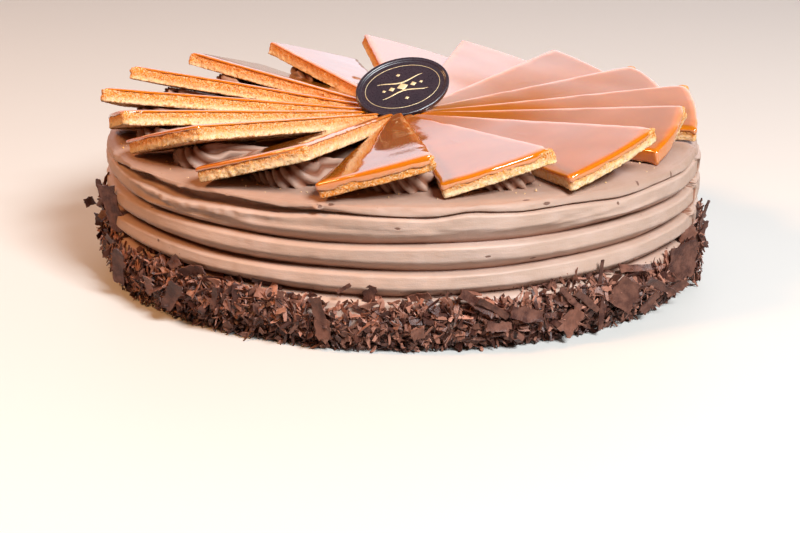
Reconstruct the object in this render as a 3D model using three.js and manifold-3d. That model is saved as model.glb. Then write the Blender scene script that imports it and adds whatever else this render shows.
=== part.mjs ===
// A whole Dobos torte: a round cake under combed chocolate buttercream, chocolate shavings round its
// foot, sixteen caramel-topped sponge wedges leaning like fan blades on piped swirls of cream, and an
// oval chocolate plaque in the middle. Millimetres, +Z up, origin on the cake's axis at its base,
// the plaque faces -Y. Angles are in degrees, counterclockwise from +X as seen from above.
import * as THREE from "three";
import { mergeVertices } from "three/addons/utils/BufferGeometryUtils.js";
import Module from "manifold-3d";

const wasm = await Module();
wasm.setup();

// ---- The cream-covered cake ----
const CAKE_RADIUS = 130;
const CAKE_HEIGHT = 59.5;
const CAKE_SIDES = 60;
const GROOVE_DEPTH = 3.4;
const TOP_GROOVE_Z = 54;
const RIDGE_PITCH = 10.45;
const RIDGE_COUNT = 4;
const RIDGE_STEPS = [0.16, 0.5, 0.84];
const RIDGE_FULLNESS = 0.6;
const RIM_ROUNDING = 9;
const RIM_CURVE = [
  { inset: 0.8, rise: 0.3 },
  { inset: 1.2, rise: 0.62 },
  { inset: 3.4, rise: 0.88 },
  { inset: RIM_ROUNDING, rise: 1 },
];
const FOOT_CHAMFER = 2.5;
const SIDE_WAVER = 0.35;

// The comb was set down and lifted off along a slanting seam on the right-hand side.
const SEAM_ANGLE = -20;
const SEAM_SLANT = -0.33;
const SEAM_WIDTH = 26;
const SEAM_SHIFT = 3.6;
const SEAM_SINK = 1.1;

// ---- Chocolate shavings pressed round the foot ----
const SHAVING_COUNT = 172;
const SHAVING_SEED = 1885;
const SHAVING_THICKNESS = 0.9;
const SHAVING_LENGTH = [6.5, 12];
const SHAVING_WIDTH = [3.6, 6.2];
const SHAVING_LEAN = [8, 38];
const SHAVING_ROLL = [-35, 35];
const SHAVING_SKEW = [-0.3, 0.3];
const SHAVING_TAPER = [0.1, 0.5];
const SHAVING_CURL = 0.03;
const SHAVING_SUNK_SHARE = 0.3;
const SHAVING_INSET = [0.6, 1.4];
const SHAVING_CLIMB_SIZE = 1.15;
const GOLDEN_RATIO = 0.618034;
const SHAVING_BAND = 21;
const SHAVING_LOWEST = 2;
const SHAVING_FLOOR = 0.4;
const SHAVING_REACH = 135;
const CLIMBS = [
  { angle: -167, height: 17, spread: 7 },
  { angle: -14, height: 13, spread: 7 },
  { angle: 74, height: 8, spread: 6 },
];

// ---- The wedges: one sponge disc under caramel, cut in sixteen by eye and set leaning ----
const WEDGE_COUNT = 16;
const FIRST_WEDGE_ANGLE = -103.5;
const SPONGE_THICKNESS = 4.7;
const CARAMEL_THICKNESS = 1.5;
const KERF = 0.35;
const SPONGE_INSET = 0.2;
const CARAMEL_ROUNDING = 0.45;
const ARC_STEPS = 6;
const GAP = 0.3;
// turn: degrees off an even spacing, tilt: how far the wedge leans, reach: its outer radius,
// cut: its own angle, lift: how far its tip rides up on the ones beside it, tip: where its tip ends
const WEDGES = [
  { turn: -0.2, tilt: 15.9, reach: 130, cut: 20, lift: 1.2, tip: 10.5 },
  { turn: -1.9, tilt: 14.1, reach: 125.5, cut: 21, lift: 0.3, tip: 10.5 },
  { turn: -1.7, tilt: 15.5, reach: 130, cut: 21.7, lift: 0, tip: 10.5 },
  { turn: 2.2, tilt: 14.8, reach: 123.5, cut: 20.3, lift: 0.2, tip: 10.5 },
  { turn: 0.8, tilt: 13.7, reach: 128, cut: 20.6, lift: 0, tip: 10.5 },
  { turn: -0.3, tilt: 12.8, reach: 125, cut: 21.8, lift: 0.3, tip: 10.5 },
  { turn: 0.9, tilt: 13.5, reach: 125.5, cut: 22, lift: 0, tip: 10.5 },
  { turn: 1.3, tilt: 13.9, reach: 126, cut: 22, lift: 0.2, tip: 10.5 },
  { turn: 1.6, tilt: 16, reach: 128.5, cut: 22.1, lift: 0, tip: 10.5 },
  { turn: 1.9, tilt: 14.5, reach: 128.5, cut: 21.6, lift: 0.3, tip: 10.5 },
  { turn: 1.8, tilt: 15.2, reach: 130, cut: 20.5, lift: 0, tip: 10.5 },
  { turn: 0.6, tilt: 16.5, reach: 131, cut: 20.1, lift: 0.3, tip: 10.5 },
  { turn: -1.1, tilt: 15.5, reach: 131, cut: 19.6, lift: 0, tip: 11 },
  { turn: -3.2, tilt: 14.8, reach: 127.5, cut: 21, lift: 0.2, tip: 18.5 },
  { turn: -4, tilt: 16.8, reach: 126, cut: 24.8, lift: 0, tip: 15 },
  { turn: -0.9, tilt: 16.8, reach: 130, cut: 22.3, lift: 0.4, tip: 12 },
];

// ---- The piped swirls that prop the wedges ----
const SWIRL_HEAD_RADIUS = 111;
const SWIRL_HEAD_TURN = 12.3;
const SWIRL_LENGTH = 46;
const SWIRL_WIDTH = 11.5;
const SWIRL_HEIGHT = 8.2;
const SWIRL_FLUTES = 6;
const SWIRL_FLUTE_DEPTH = 0.2;
const SWIRL_TWIST = 75;
const SWIRL_HOOK = 7;
const SWIRL_TAPER = 0.62;
const SWIRL_OVERHANG = 10;
const SWIRL_DRIFT = 6;
const SWIRL_SEAT = 0.25;
const SWIRL_RINGS = 7;

// ---- The plaque and the rosette it leans on ----
const PLAQUE_HALF_LENGTH = 21.2;
const PLAQUE_HALF_WIDTH = 14.8;
const PLAQUE_THICKNESS = 3;
const PLAQUE_RIM_WIDTH = 1.6;
const PLAQUE_RECESS = 0.6;
const PLAQUE_ROUNDING = 0.6;
const PLAQUE_CENTRE = [0, 4, 76];
const PLAQUE_LEAN = 45;
const PLAQUE_ROLL = 19;
const PLAQUE_SIDES = 28;
const ROSETTE_RADIUS = 7.3;
const ROSETTE_SETBACK = 2.5;
const ROSETTE_HEIGHT = 15;
const ROSETTE_FLUTES = 6;
const ROSETTE_FLUTE_DEPTH = 0.14;
const ROSETTE_TWIST = 0.9;
const ROSETTE_SEAT = 0.3;
const ROSETTE_SIDES = 18;
const ROSETTE_RINGS = 8;

const cream = new THREE.MeshStandardMaterial({ color: 0xc89a80, roughness: 0.55, metalness: 0 });
const sponge = new THREE.MeshStandardMaterial({ color: 0xe8b45f, roughness: 0.9, metalness: 0 });
const caramel = new THREE.MeshStandardMaterial({ color: 0xd9822b, roughness: 0.12, metalness: 0 });
const chocolate = new THREE.MeshStandardMaterial({ color: 0x2e2226, roughness: 0.3, metalness: 0 });

const group = new THREE.Group();
const radians = THREE.MathUtils.degToRad;

// A seeded random source that gives numbers from 0 to 1.
function randomSource(seed) {
  let state = seed >>> 0;
  return () => {
    state = (state + 0x6d2b79f5) >>> 0;
    let t = Math.imul(state ^ (state >>> 15), 1 | state);
    t = (t + Math.imul(t ^ (t >>> 7), 61 | t)) ^ t;
    return ((t ^ (t >>> 14)) >>> 0) / 4294967296;
  };
}

// The geometry with positions alone and its shared vertices merged.
function welded(geometry) {
  const bare = geometry.clone();
  bare.deleteAttribute("normal");
  bare.deleteAttribute("uv");
  return mergeVertices(bare, 1e-4);
}

// The geometry with every vertex moved by a function that changes a Vector3 in place.
function reshaped(geometry, move) {
  const positions = geometry.getAttribute("position");
  const vertex = new THREE.Vector3();
  for (let i = 0; i < positions.count; i += 1) {
    vertex.fromBufferAttribute(positions, i);
    move(vertex);
    positions.setXYZ(i, vertex.x, vertex.y, vertex.z);
  }
  return geometry;
}

function toSolid(geometry) {
  const closed = welded(geometry);
  return new wasm.Manifold(
    new wasm.Mesh({
      numProp: 3,
      vertProperties: new Float32Array(closed.getAttribute("position").array),
      triVerts: new Uint32Array(closed.index.array),
    }),
  );
}

function toGeometry(solid) {
  const mesh = solid.getMesh();
  const geometry = new THREE.BufferGeometry();
  geometry.setAttribute("position", new THREE.BufferAttribute(mesh.vertProperties, 3));
  geometry.setIndex(new THREE.BufferAttribute(mesh.triVerts, 1));
  geometry.computeVertexNormals();
  return geometry;
}

// The biggest piece of a solid, without loose scraps or sealed hollows.
function mainPiece(solid) {
  return solid.decompose().reduce((best, piece) => (piece.volume() > best.volume() ? piece : best));
}

function addPart(parent, name, geometry, material) {
  const part = new THREE.Mesh(geometry, material);
  part.name = name;
  parent.add(part);
  return part;
}

// How far an angle is past another, from -180 to 180.
function angleFrom(angle, start) {
  return ((((angle - start + 180) % 360) + 360) % 360) - 180;
}

// ---- Cake ----

// 1 beside the seam, where the comb ran twice, fading to 0 further round, and 0 before it.
function seamShare(angle, z) {
  const past = angleFrom(angle, SEAM_ANGLE + SEAM_SLANT * (z - CAKE_HEIGHT / 2));
  return past > 0 && past < SEAM_WIDTH ? 1 - past / SEAM_WIDTH : 0;
}

// The ridged profile as points of radius and height, from the axis at the base to the axis on top.
function cakeProfile() {
  const points = [new THREE.Vector2(0, 0), new THREE.Vector2(CAKE_RADIUS - GROOVE_DEPTH - FOOT_CHAMFER, 0)];
  const grooveRadius = CAKE_RADIUS - GROOVE_DEPTH;
  for (let ridge = RIDGE_COUNT - 1; ridge >= 0; ridge -= 1) {
    const top = TOP_GROOVE_Z - ridge * RIDGE_PITCH;
    const foot = ridge === RIDGE_COUNT - 1 ? FOOT_CHAMFER : top - RIDGE_PITCH;
    for (const share of RIDGE_STEPS) {
      const bulge = GROOVE_DEPTH * Math.sin(Math.PI * share) ** RIDGE_FULLNESS;
      points.push(new THREE.Vector2(grooveRadius + bulge, foot + (top - foot) * share));
    }
    points.push(new THREE.Vector2(grooveRadius, top));
  }
  for (const { inset, rise } of RIM_CURVE) {
    points.push(new THREE.Vector2(CAKE_RADIUS - inset, TOP_GROOVE_Z + rise * (CAKE_HEIGHT - TOP_GROOVE_Z)));
  }
  points.push(new THREE.Vector2(0, CAKE_HEIGHT));
  return points;
}

// The side wavers a little, as hand-combed cream does, and steps back and up past the seam.
function unevenSide(vertex) {
  const radius = Math.hypot(vertex.x, vertex.y);
  if (radius < CAKE_RADIUS - RIM_ROUNDING - 1) return;
  const theta = Math.atan2(vertex.y, vertex.x);
  const inside = vertex.z > 0.1 && vertex.z < CAKE_HEIGHT - 0.1;
  const seam = inside ? seamShare(THREE.MathUtils.radToDeg(theta), vertex.z) : 0;
  const wave = Math.sin(3 * theta + 0.7) + 0.6 * Math.sin(7 * theta + vertex.z / 9);
  const waver = inside ? SIDE_WAVER * wave : 0;
  const scale = (radius + waver - SEAM_SINK * seam) / radius;
  vertex.x *= scale;
  vertex.y *= scale;
  if (inside) vertex.z += SIDE_WAVER * Math.sin(4 * theta + 1.1);
  if (inside && vertex.z < TOP_GROOVE_Z - 1) vertex.z += SEAM_SHIFT * seam;
}

function cakeBody() {
  const lathe = new THREE.LatheGeometry(cakeProfile(), CAKE_SIDES).rotateX(Math.PI / 2);
  return reshaped(welded(lathe), unevenSide);
}

// How high the shavings reach at an angle: a ragged edge, and three places where they climb.
function shavingTop(angle) {
  const theta = radians(angle);
  let top = SHAVING_BAND + 1.8 * Math.sin(5 * theta + 0.4) + 1.3 * Math.sin(13 * theta + 2);
  for (const climb of CLIMBS) {
    const away = angleFrom(angle, climb.angle) / climb.spread;
    top += climb.height * Math.exp(-away * away);
  }
  return top;
}

// One shaving: a ragged-cornered plate, every third one curled, stuck in by one end and leaning out.
function shaving(random, index, angle, z) {
  const between = (low, high) => low + (high - low) * random();
  const size = z > SHAVING_BAND ? SHAVING_CLIMB_SIZE : 1;
  const length = between(...SHAVING_LENGTH) * size;
  const width = between(...SHAVING_WIDTH) * size;
  const curled = index % 3 === 0;
  const skew = between(...SHAVING_SKEW);
  const taper = between(...SHAVING_TAPER);
  const plate = new THREE.BoxGeometry(length, width, SHAVING_THICKNESS, curled ? 2 : 1, 1, 1);
  plate.translate(length * (0.5 - SHAVING_SUNK_SHARE), 0, 0);
  reshaped(plate, (vertex) => {
    vertex.y *= 1 - (taper * vertex.x) / length;
    vertex.x += skew * vertex.y;
    if (curled) vertex.z += SHAVING_CURL * vertex.x * vertex.x;
  });
  plate.rotateX(radians(between(...SHAVING_ROLL)));
  plate.rotateY(radians(-between(...SHAVING_LEAN)));
  plate.rotateZ(radians(between(-180, 180)));
  plate.rotateY(Math.PI / 2);
  plate.rotateZ(radians(angle));
  const out = CAKE_RADIUS - between(...SHAVING_INSET);
  plate.translate(out * Math.cos(radians(angle)), out * Math.sin(radians(angle)), z);
  plate.computeBoundingBox();
  const below = SHAVING_FLOOR - plate.boundingBox.min.z;
  if (below > 0) plate.translate(0, 0, below);
  return reshaped(plate, (vertex) => {
    const over = Math.max(1, Math.hypot(vertex.x, vertex.y) / SHAVING_REACH);
    vertex.x /= over;
    vertex.y /= over;
  });
}

// The cake with its shavings fused on, spread evenly round by the golden ratio.
function cakeWithShavings() {
  const random = randomSource(SHAVING_SEED);
  let cake = toSolid(cakeBody());
  for (let i = 0; i < SHAVING_COUNT; i += 1) {
    const angle = ((i * GOLDEN_RATIO) % 1) * 360 - 180;
    const z = SHAVING_LOWEST + (shavingTop(angle) - 2 * SHAVING_LOWEST) * random() ** 0.8;
    cake = cake.add(toSolid(shaving(random, i, angle, z)));
  }
  return toGeometry(mainPiece(cake));
}

// ---- Wedges ----

// The outline of a wedge lying flat with its low edge along +X, its corner at the origin cut short.
function wedgeShape(wedge, inset) {
  const cut = radians(wedge.cut);
  const reach = wedge.reach - inset;
  const low = KERF + inset;
  const tip = wedge.tip + inset;
  const shape = new THREE.Shape();
  shape.moveTo(tip, low);
  for (let i = 0; i <= ARC_STEPS; i += 1) {
    const start = Math.asin(low / reach);
    const end = cut - inset / reach;
    const turn = start + ((end - start) * i) / ARC_STEPS;
    shape.lineTo(reach * Math.cos(turn), reach * Math.sin(turn));
  }
  shape.lineTo(tip * Math.cos(cut - inset / tip), tip * Math.sin(cut - inset / tip));
  shape.closePath();
  return shape;
}

// The sponge is a plain slab, the caramel a thinner one with softly rounded edges.
function spongeSlab(wedge) {
  return new THREE.ExtrudeGeometry(wedgeShape(wedge, SPONGE_INSET), {
    depth: SPONGE_THICKNESS,
    bevelEnabled: false,
  });
}

function caramelSlab(wedge) {
  return new THREE.ExtrudeGeometry(wedgeShape(wedge, CARAMEL_ROUNDING), {
    depth: CARAMEL_THICKNESS - 2 * CARAMEL_ROUNDING,
    bevelThickness: CARAMEL_ROUNDING,
    bevelSize: CARAMEL_ROUNDING,
    bevelSegments: 1,
  }).translate(0, 0, CARAMEL_ROUNDING);
}

// The two layers of one wedge, lifted at the tip, tilted about the low edge and turned to its place.
function addWedge(wedge, index) {
  const place = new THREE.Group();
  place.position.z = CAKE_HEIGHT + GAP + wedge.lift;
  place.rotation.z = radians(FIRST_WEDGE_ANGLE + (360 / WEDGE_COUNT) * index + wedge.turn);
  const slope = new THREE.Group();
  slope.rotation.y = Math.atan(wedge.lift / wedge.reach);
  const lean = new THREE.Group();
  lean.rotation.x = radians(wedge.tilt);
  group.add(place);
  place.add(slope);
  slope.add(lean);
  const number = String(index + 1).padStart(2, "0");
  addPart(lean, `sponge_${number}`, spongeSlab(wedge), sponge);
  const top = addPart(lean, `caramel_${number}`, caramelSlab(wedge), caramel);
  top.position.z = SPONGE_THICKNESS + GAP;
}

// ---- Swirls ----

// One piped shell, fat and hooked at its outer head and drawn out to a thin tail towards the middle.
// The sphere's poles become head and tail; the wedge above presses it flat.
function swirl(wedge) {
  const ball = welded(new THREE.SphereGeometry(1, 2 * SWIRL_FLUTES, SWIRL_RINGS));
  const headX = SWIRL_HEAD_RADIUS * Math.cos(radians(SWIRL_HEAD_TURN));
  const headY = SWIRL_HEAD_RADIUS * Math.sin(radians(SWIRL_HEAD_TURN));
  const slope = Math.tan(radians(wedge.tilt));
  return reshaped(ball, (vertex) => {
    const along = (1 - vertex.y) / 2;
    const round = Math.sqrt(Math.max(0, 1 - vertex.y * vertex.y));
    const turn = Math.atan2(-vertex.z, vertex.x);
    const girth = round * (1 - SWIRL_TAPER * along ** 0.8) * 1.12;
    const flute = 1 - (Math.cos(SWIRL_FLUTES * turn) < 0 ? SWIRL_FLUTE_DEPTH : 0);
    const section = turn + radians(SWIRL_TWIST) * along;
    const hook = SWIRL_HOOK * (1 - along) ** 2;
    const x = headX + SWIRL_OVERHANG - SWIRL_LENGTH * along;
    const y = headY + hook - SWIRL_DRIFT * along + SWIRL_WIDTH * girth * flute * Math.cos(section);
    const z = SWIRL_HEIGHT * (SWIRL_SEAT + girth * flute * Math.sin(section));
    vertex.set(x, y, CAKE_HEIGHT + Math.min(Math.max(z, GAP), y * slope));
  });
}

function addSwirl(wedge, index) {
  const place = new THREE.Group();
  place.rotation.z = radians(FIRST_WEDGE_ANGLE + (360 / WEDGE_COUNT) * index + wedge.turn);
  group.add(place);
  addPart(place, `swirl_${String(index + 1).padStart(2, "0")}`, swirl(wedge), cream);
}

// ---- Plaque and rosette ----

// An oval tablet with a raised rim round a shallow recess, grown all round by some clearance.
function plaqueGeometry(clearance) {
  const half = PLAQUE_THICKNESS / 2 + clearance;
  const width = PLAQUE_HALF_WIDTH + clearance;
  const face = clearance > 0 ? half : half - PLAQUE_RECESS;
  const inner = width - PLAQUE_RIM_WIDTH;
  const points = [
    [0, -half],
    [width - PLAQUE_ROUNDING, -half],
    [width, PLAQUE_ROUNDING - half],
    [width, half - PLAQUE_ROUNDING],
    [width - PLAQUE_ROUNDING, half],
    [inner, half],
    [inner - PLAQUE_RECESS, face],
    [0, face],
  ].map(([radius, height]) => new THREE.Vector2(radius, height));
  const lathe = new THREE.LatheGeometry(points, PLAQUE_SIDES).rotateX(Math.PI / 2);
  const stretch = PLAQUE_HALF_LENGTH - PLAQUE_HALF_WIDTH;
  reshaped(lathe, (vertex) => {
    const radius = Math.hypot(vertex.x, vertex.y);
    if (radius > 0) vertex.x *= (radius + stretch) / radius;
  });
  return lathe;
}

// Rolls a plaque in its own plane, leans it back and sets it on the tips of the wedges.
function plaquePlaced(geometry) {
  return geometry
    .rotateZ(radians(PLAQUE_ROLL))
    .rotateX(radians(PLAQUE_LEAN))
    .translate(...PLAQUE_CENTRE);
}

// A fluted mound of cream between the tips, pressed by the plaque that leans on it.
function rosette() {
  const ball = welded(new THREE.SphereGeometry(1, ROSETTE_SIDES, ROSETTE_RINGS).rotateX(Math.PI / 2));
  reshaped(ball, (vertex) => {
    const turn = Math.atan2(vertex.y, vertex.x) + vertex.z * ROSETTE_TWIST;
    const flute = 1 - ROSETTE_FLUTE_DEPTH * (0.5 + 0.5 * Math.cos(ROSETTE_FLUTES * turn));
    const rise = Math.max(0, ROSETTE_SEAT + (1 - ROSETTE_SEAT) * vertex.z);
    const z = CAKE_HEIGHT + GAP + ROSETTE_HEIGHT * rise;
    vertex.set(vertex.x * ROSETTE_RADIUS * flute, vertex.y * ROSETTE_RADIUS * flute + ROSETTE_SETBACK, z);
  });
  const room = toSolid(plaquePlaced(plaqueGeometry(GAP)));
  return toGeometry(mainPiece(toSolid(ball).subtract(room)));
}

addPart(group, "cake", cakeWithShavings(), cream);
WEDGES.forEach(addWedge);
WEDGES.forEach(addSwirl);
addPart(group, "rosette", rosette(), cream);
addPart(group, "plaque", plaquePlaced(plaqueGeometry(0)), chocolate);

export default group;
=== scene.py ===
"""A whole Dobos torte: combed chocolate buttercream, chocolate shavings round the foot, sixteen
caramel-topped sponge wedges leaning on piped swirls, and an oval chocolate plaque.

Lengths are in metres, written as millimetres times MM. Angles are in degrees, counterclockwise from
+X as seen from above, and the plaque faces -Y.
"""

import math

import bpy
import numpy as np
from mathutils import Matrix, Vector


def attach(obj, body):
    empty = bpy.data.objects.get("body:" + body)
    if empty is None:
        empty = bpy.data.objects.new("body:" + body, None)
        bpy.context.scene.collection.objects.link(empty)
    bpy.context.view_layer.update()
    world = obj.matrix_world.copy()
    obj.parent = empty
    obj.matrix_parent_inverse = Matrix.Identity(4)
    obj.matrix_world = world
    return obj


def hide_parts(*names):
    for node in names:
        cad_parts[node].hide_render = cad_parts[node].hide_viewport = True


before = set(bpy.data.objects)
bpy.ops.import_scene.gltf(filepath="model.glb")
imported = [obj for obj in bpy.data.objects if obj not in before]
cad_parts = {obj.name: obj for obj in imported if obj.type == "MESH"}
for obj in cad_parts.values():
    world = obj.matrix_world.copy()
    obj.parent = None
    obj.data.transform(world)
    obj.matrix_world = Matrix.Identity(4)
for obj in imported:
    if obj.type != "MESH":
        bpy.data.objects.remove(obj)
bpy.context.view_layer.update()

bl_info = {
    "name": "Dobos torte",
    "version": (1, 0, 0),
    "blender": (4, 5, 0),
    "location": "View3D > Sidebar > Torte",
    "description": "Builds the cream, shavings, wedges, swirls and plaque of a Dobos torte",
    "category": "Add Mesh",
}

MM = 0.001
GAP = 0.3 * MM
FAR = 9.0


def table(names, rows):
    """One dictionary a row, its numbers under the names of the columns."""
    return [dict(zip(names.split(), row)) for row in rows]


# ---- The wedges, cut by eye from one disc and set leaning ----
WEDGE_COUNT = 16
FIRST_WEDGE_ANGLE = -103.5
# turn: degrees off an even spacing, tilt: how far the wedge leans, reach: its outer radius,
# cut: its own angle, lift: how far its tip rides up on the ones beside it, tip: where its tip ends,
# golden: how far syrup has stained its crumb, spur: how far its crumb sticks out at the raised corner,
# skirt: how far the caramel hangs down over the outer arc, fall: how much further at its low end,
# pool: how far out the caramel's deep dip by the tip reaches, against the usual
WEDGES = table("turn tilt reach cut lift tip golden spur skirt fall pool", [
    (-0.2, 15.9, 130, 20, 1.2, 10.5, 0.72, 0.3, 1.9, 0, 1),
    (-1.9, 14.1, 125.5, 21, 0.3, 10.5, 0.1, 1.6, 1.3, 0, 1),
    (-1.7, 15.5, 130, 21.7, 0, 10.5, 0.05, 1.3, 1.2, 0, 1),
    (2.2, 14.8, 123.5, 20.3, 0.2, 10.5, 0.3, 0.7, 1.3, 4.2, 1.45),
    (0.8, 13.7, 128, 20.6, 0, 10.5, 0.25, 1.2, 1.2, 0, 1.45),
    (-0.3, 12.8, 125, 21.8, 0.3, 10.5, 0.3, 1.0, 1.1, 0, 1.45),
    (0.9, 13.5, 125.5, 22, 0, 10.5, 0.2, 0.3, 1.0, 0, 1.45),
    (1.3, 13.9, 126, 22, 0.2, 10.5, 0.1, 0.3, 0.9, 0, 1.45),
    (1.6, 16, 128.5, 22.1, 0, 10.5, 0.1, 0.2, 0.8, 0, 1),
    (1.9, 14.5, 128.5, 21.6, 0.3, 10.5, 0.1, 0.2, 0.7, 0, 1),
    (1.8, 15.2, 130, 20.5, 0, 10.5, 0.15, 0.8, 0.4, 0, 1),
    (0.6, 16.5, 131, 20.1, 0.3, 10.5, 0.22, 0.7, 0.35, 0, 1),
    (-1.1, 15.5, 131, 19.6, 0, 11, 0.15, 0.8, 0.3, 0, 1),
    (-3.2, 14.8, 127.5, 21, 0.2, 18.5, 0.05, 0.5, 0.3, 0, 1),
    (-4, 16.8, 126, 24.8, 0, 15, 0.1, 0.3, 0.3, 0, 1),
    (-0.9, 16.8, 130, 22.3, 0.4, 12, 0.0, 0.5, 0.35, 0, 1),
])

# ---- The comb's marks on the side ----
RIDGE_COUNT = 4
# Shares of a ridge's height at which the mesh has a row, and where its crest lies: usually, and at the
# left of the front, where the grooves are deeper by the share that follows.
RIDGE_ROWS = [
    0, 0.02, 0.06, 0.12, 0.2, 0.29, 0.37, 0.43, 0.48, 0.53, 0.58, 0.66, 0.76, 0.85, 0.91, 0.95, 0.98,
]
RIDGE_CREST = 0.45
LEFT_CREST = 0.55
LEFT_DEEPER = 0.25
# Share of painted groove shade where a groove is at its full depth.
GROOVE_SHADE_SHARE = 0.72
TOP_ROWS = (118.5, 116, 113.5, 111, 108, 105, 102, 98, 94, 90, 84, 76, 62, 44, 22)
RIDGE_SHOULDER = 0.9
FOOT_CHAMFER = 2.5 * MM
RIM_INSET = 9 * MM
# The seam, where one run of the comb ends on another: its course, the width over which the runs blend,
# how much higher and further out the second lies, and the round lobes that the first ends in.
SEAM_HEIGHTS = [17.4, 27.9, 38.3, 48.8]
SEAM_ANGLES = [-16.5, -18.4, -18.7, -12.5]
SEAM_WIDTH = 30
SEAM_SHIFT = 0.8 * MM
SEAM_SWELL = 0.9 * MM
LOBE_ROUNDING = 1.2 * MM
LOBE_LENGTH = 8 * MM
SEAM_UNDERLAP = 12

# Strokes of the comb and knife left in the cream: from and to angle, from and to height, the stroke's
# half width and its depth (a minus digs in).
SMEARS = table("angles heights width depth", [
    ((-150, -116), (49.6, 46.9), 1.4, -1.5),
    ((-148, -118), (47.2, 45.3), 0.9, 0.8),
    ((-138, -128), (49.4, 47.8), 0.7, 0.8),
    ((-122, -84), (50.4, 48.0), 1.0, -0.55),
    ((-86, -70), (48.3, 46.4), 1.6, -0.6),
    ((-74, -52), (46.4, 50.0), 1.4, -0.9),
    ((-68, -44), (48.0, 51.6), 0.8, 0.6),
    ((-64, -36), (45.6, 48.8), 1.0, 0.6),
    ((20, 60), (50.2, 47.0), 1.3, -0.7),
    ((66, 112), (49.2, 46.6), 1.1, -0.6),
    ((118, 160), (46.8, 50.4), 1.2, -0.7),
    ((-176, -152), (40.6, 37.4), 0.9, -0.4),
    ((40, 96), (28.6, 30.6), 0.9, -0.4),
])

# Air holes and nicks in the cream, drawn as painted dark shade: angle, height, half length and half height.
PITS = table("angle z length height", [
    (-64.7, 56.2, 1.7, 0.8),
    (-68.3, 58.4, 1.8, 0.6),
    (-43.7, 57.6, 0.8, 1.6),
    (-49.5, 52.0, 0.7, 0.8),
    (-32.4, 56.0, 0.8, 1.9),
    (-101.9, 58.0, 1.7, 1.0),
    (-103.6, 57.2, 0.9, 0.8),
    (-17.6, 44.3, 1.2, 1.0),
    (-21.6, 34.6, 1.3, 1.0),
    (-148.3, 45.6, 1.1, 0.9),
    (-144.2, 43.2, 1.3, 0.9),
    (-151.9, 43.4, 0.9, 0.7),
    (-142.6, 42.6, 0.8, 0.6),
    (-138.7, 31.1, 1.0, 0.7),
    (-113.0, 33.4, 0.9, 0.7),
    (-114.5, 23.8, 1.2, 0.7),
    (-90.7, 49.6, 1.3, 0.5),
    (-75.5, 38.2, 1.4, 0.5),
])
# Torn, lumpy places by the top groove: angle, height, spread and how far they stand out.
LUMPS = table("angle z spread height", [
    (-158, 56.5, 4, 1.4),
    (-147, 57, 3, 1.6),
    (-132, 54.5, 3.2, 1.5),
    (-121, 57.5, 2.4, 1.2),
    (-104, 57.5, 3.4, 1.5),
    (48, 55.5, 4, 1.4),
    (124, 56, 3.5, 1.4),
])
RANDOM_PITS = 7
PIT_SEED = 71
# The shader paints a pit as dark shade on the points this near to it, in millimetres, that have no other
# nearly as near.
PIT_REACH = 3.2
PIT_APART = 1.3

# ---- Chocolate shavings pressed round the foot ----
# Height of the band of shavings in millimetres, the angle past which an edge between two faces is shaded
# as sharp, what the tones of the listed shavings are multiplied by, and the seed of their details.
SHAVING_BAND = 21
SHARP_ANGLE = 32
HAND_TONE = 0.45
HAND_SEED = 404
# Places where the band climbs: angle, how much higher, and over what spread.
CLIMBS = table("angle height spread", [
    (-167, 17, 7),
    (-14, 13, 7),
    (74, 8, 6),
])
GOLDEN_RATIO = 0.618034
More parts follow.
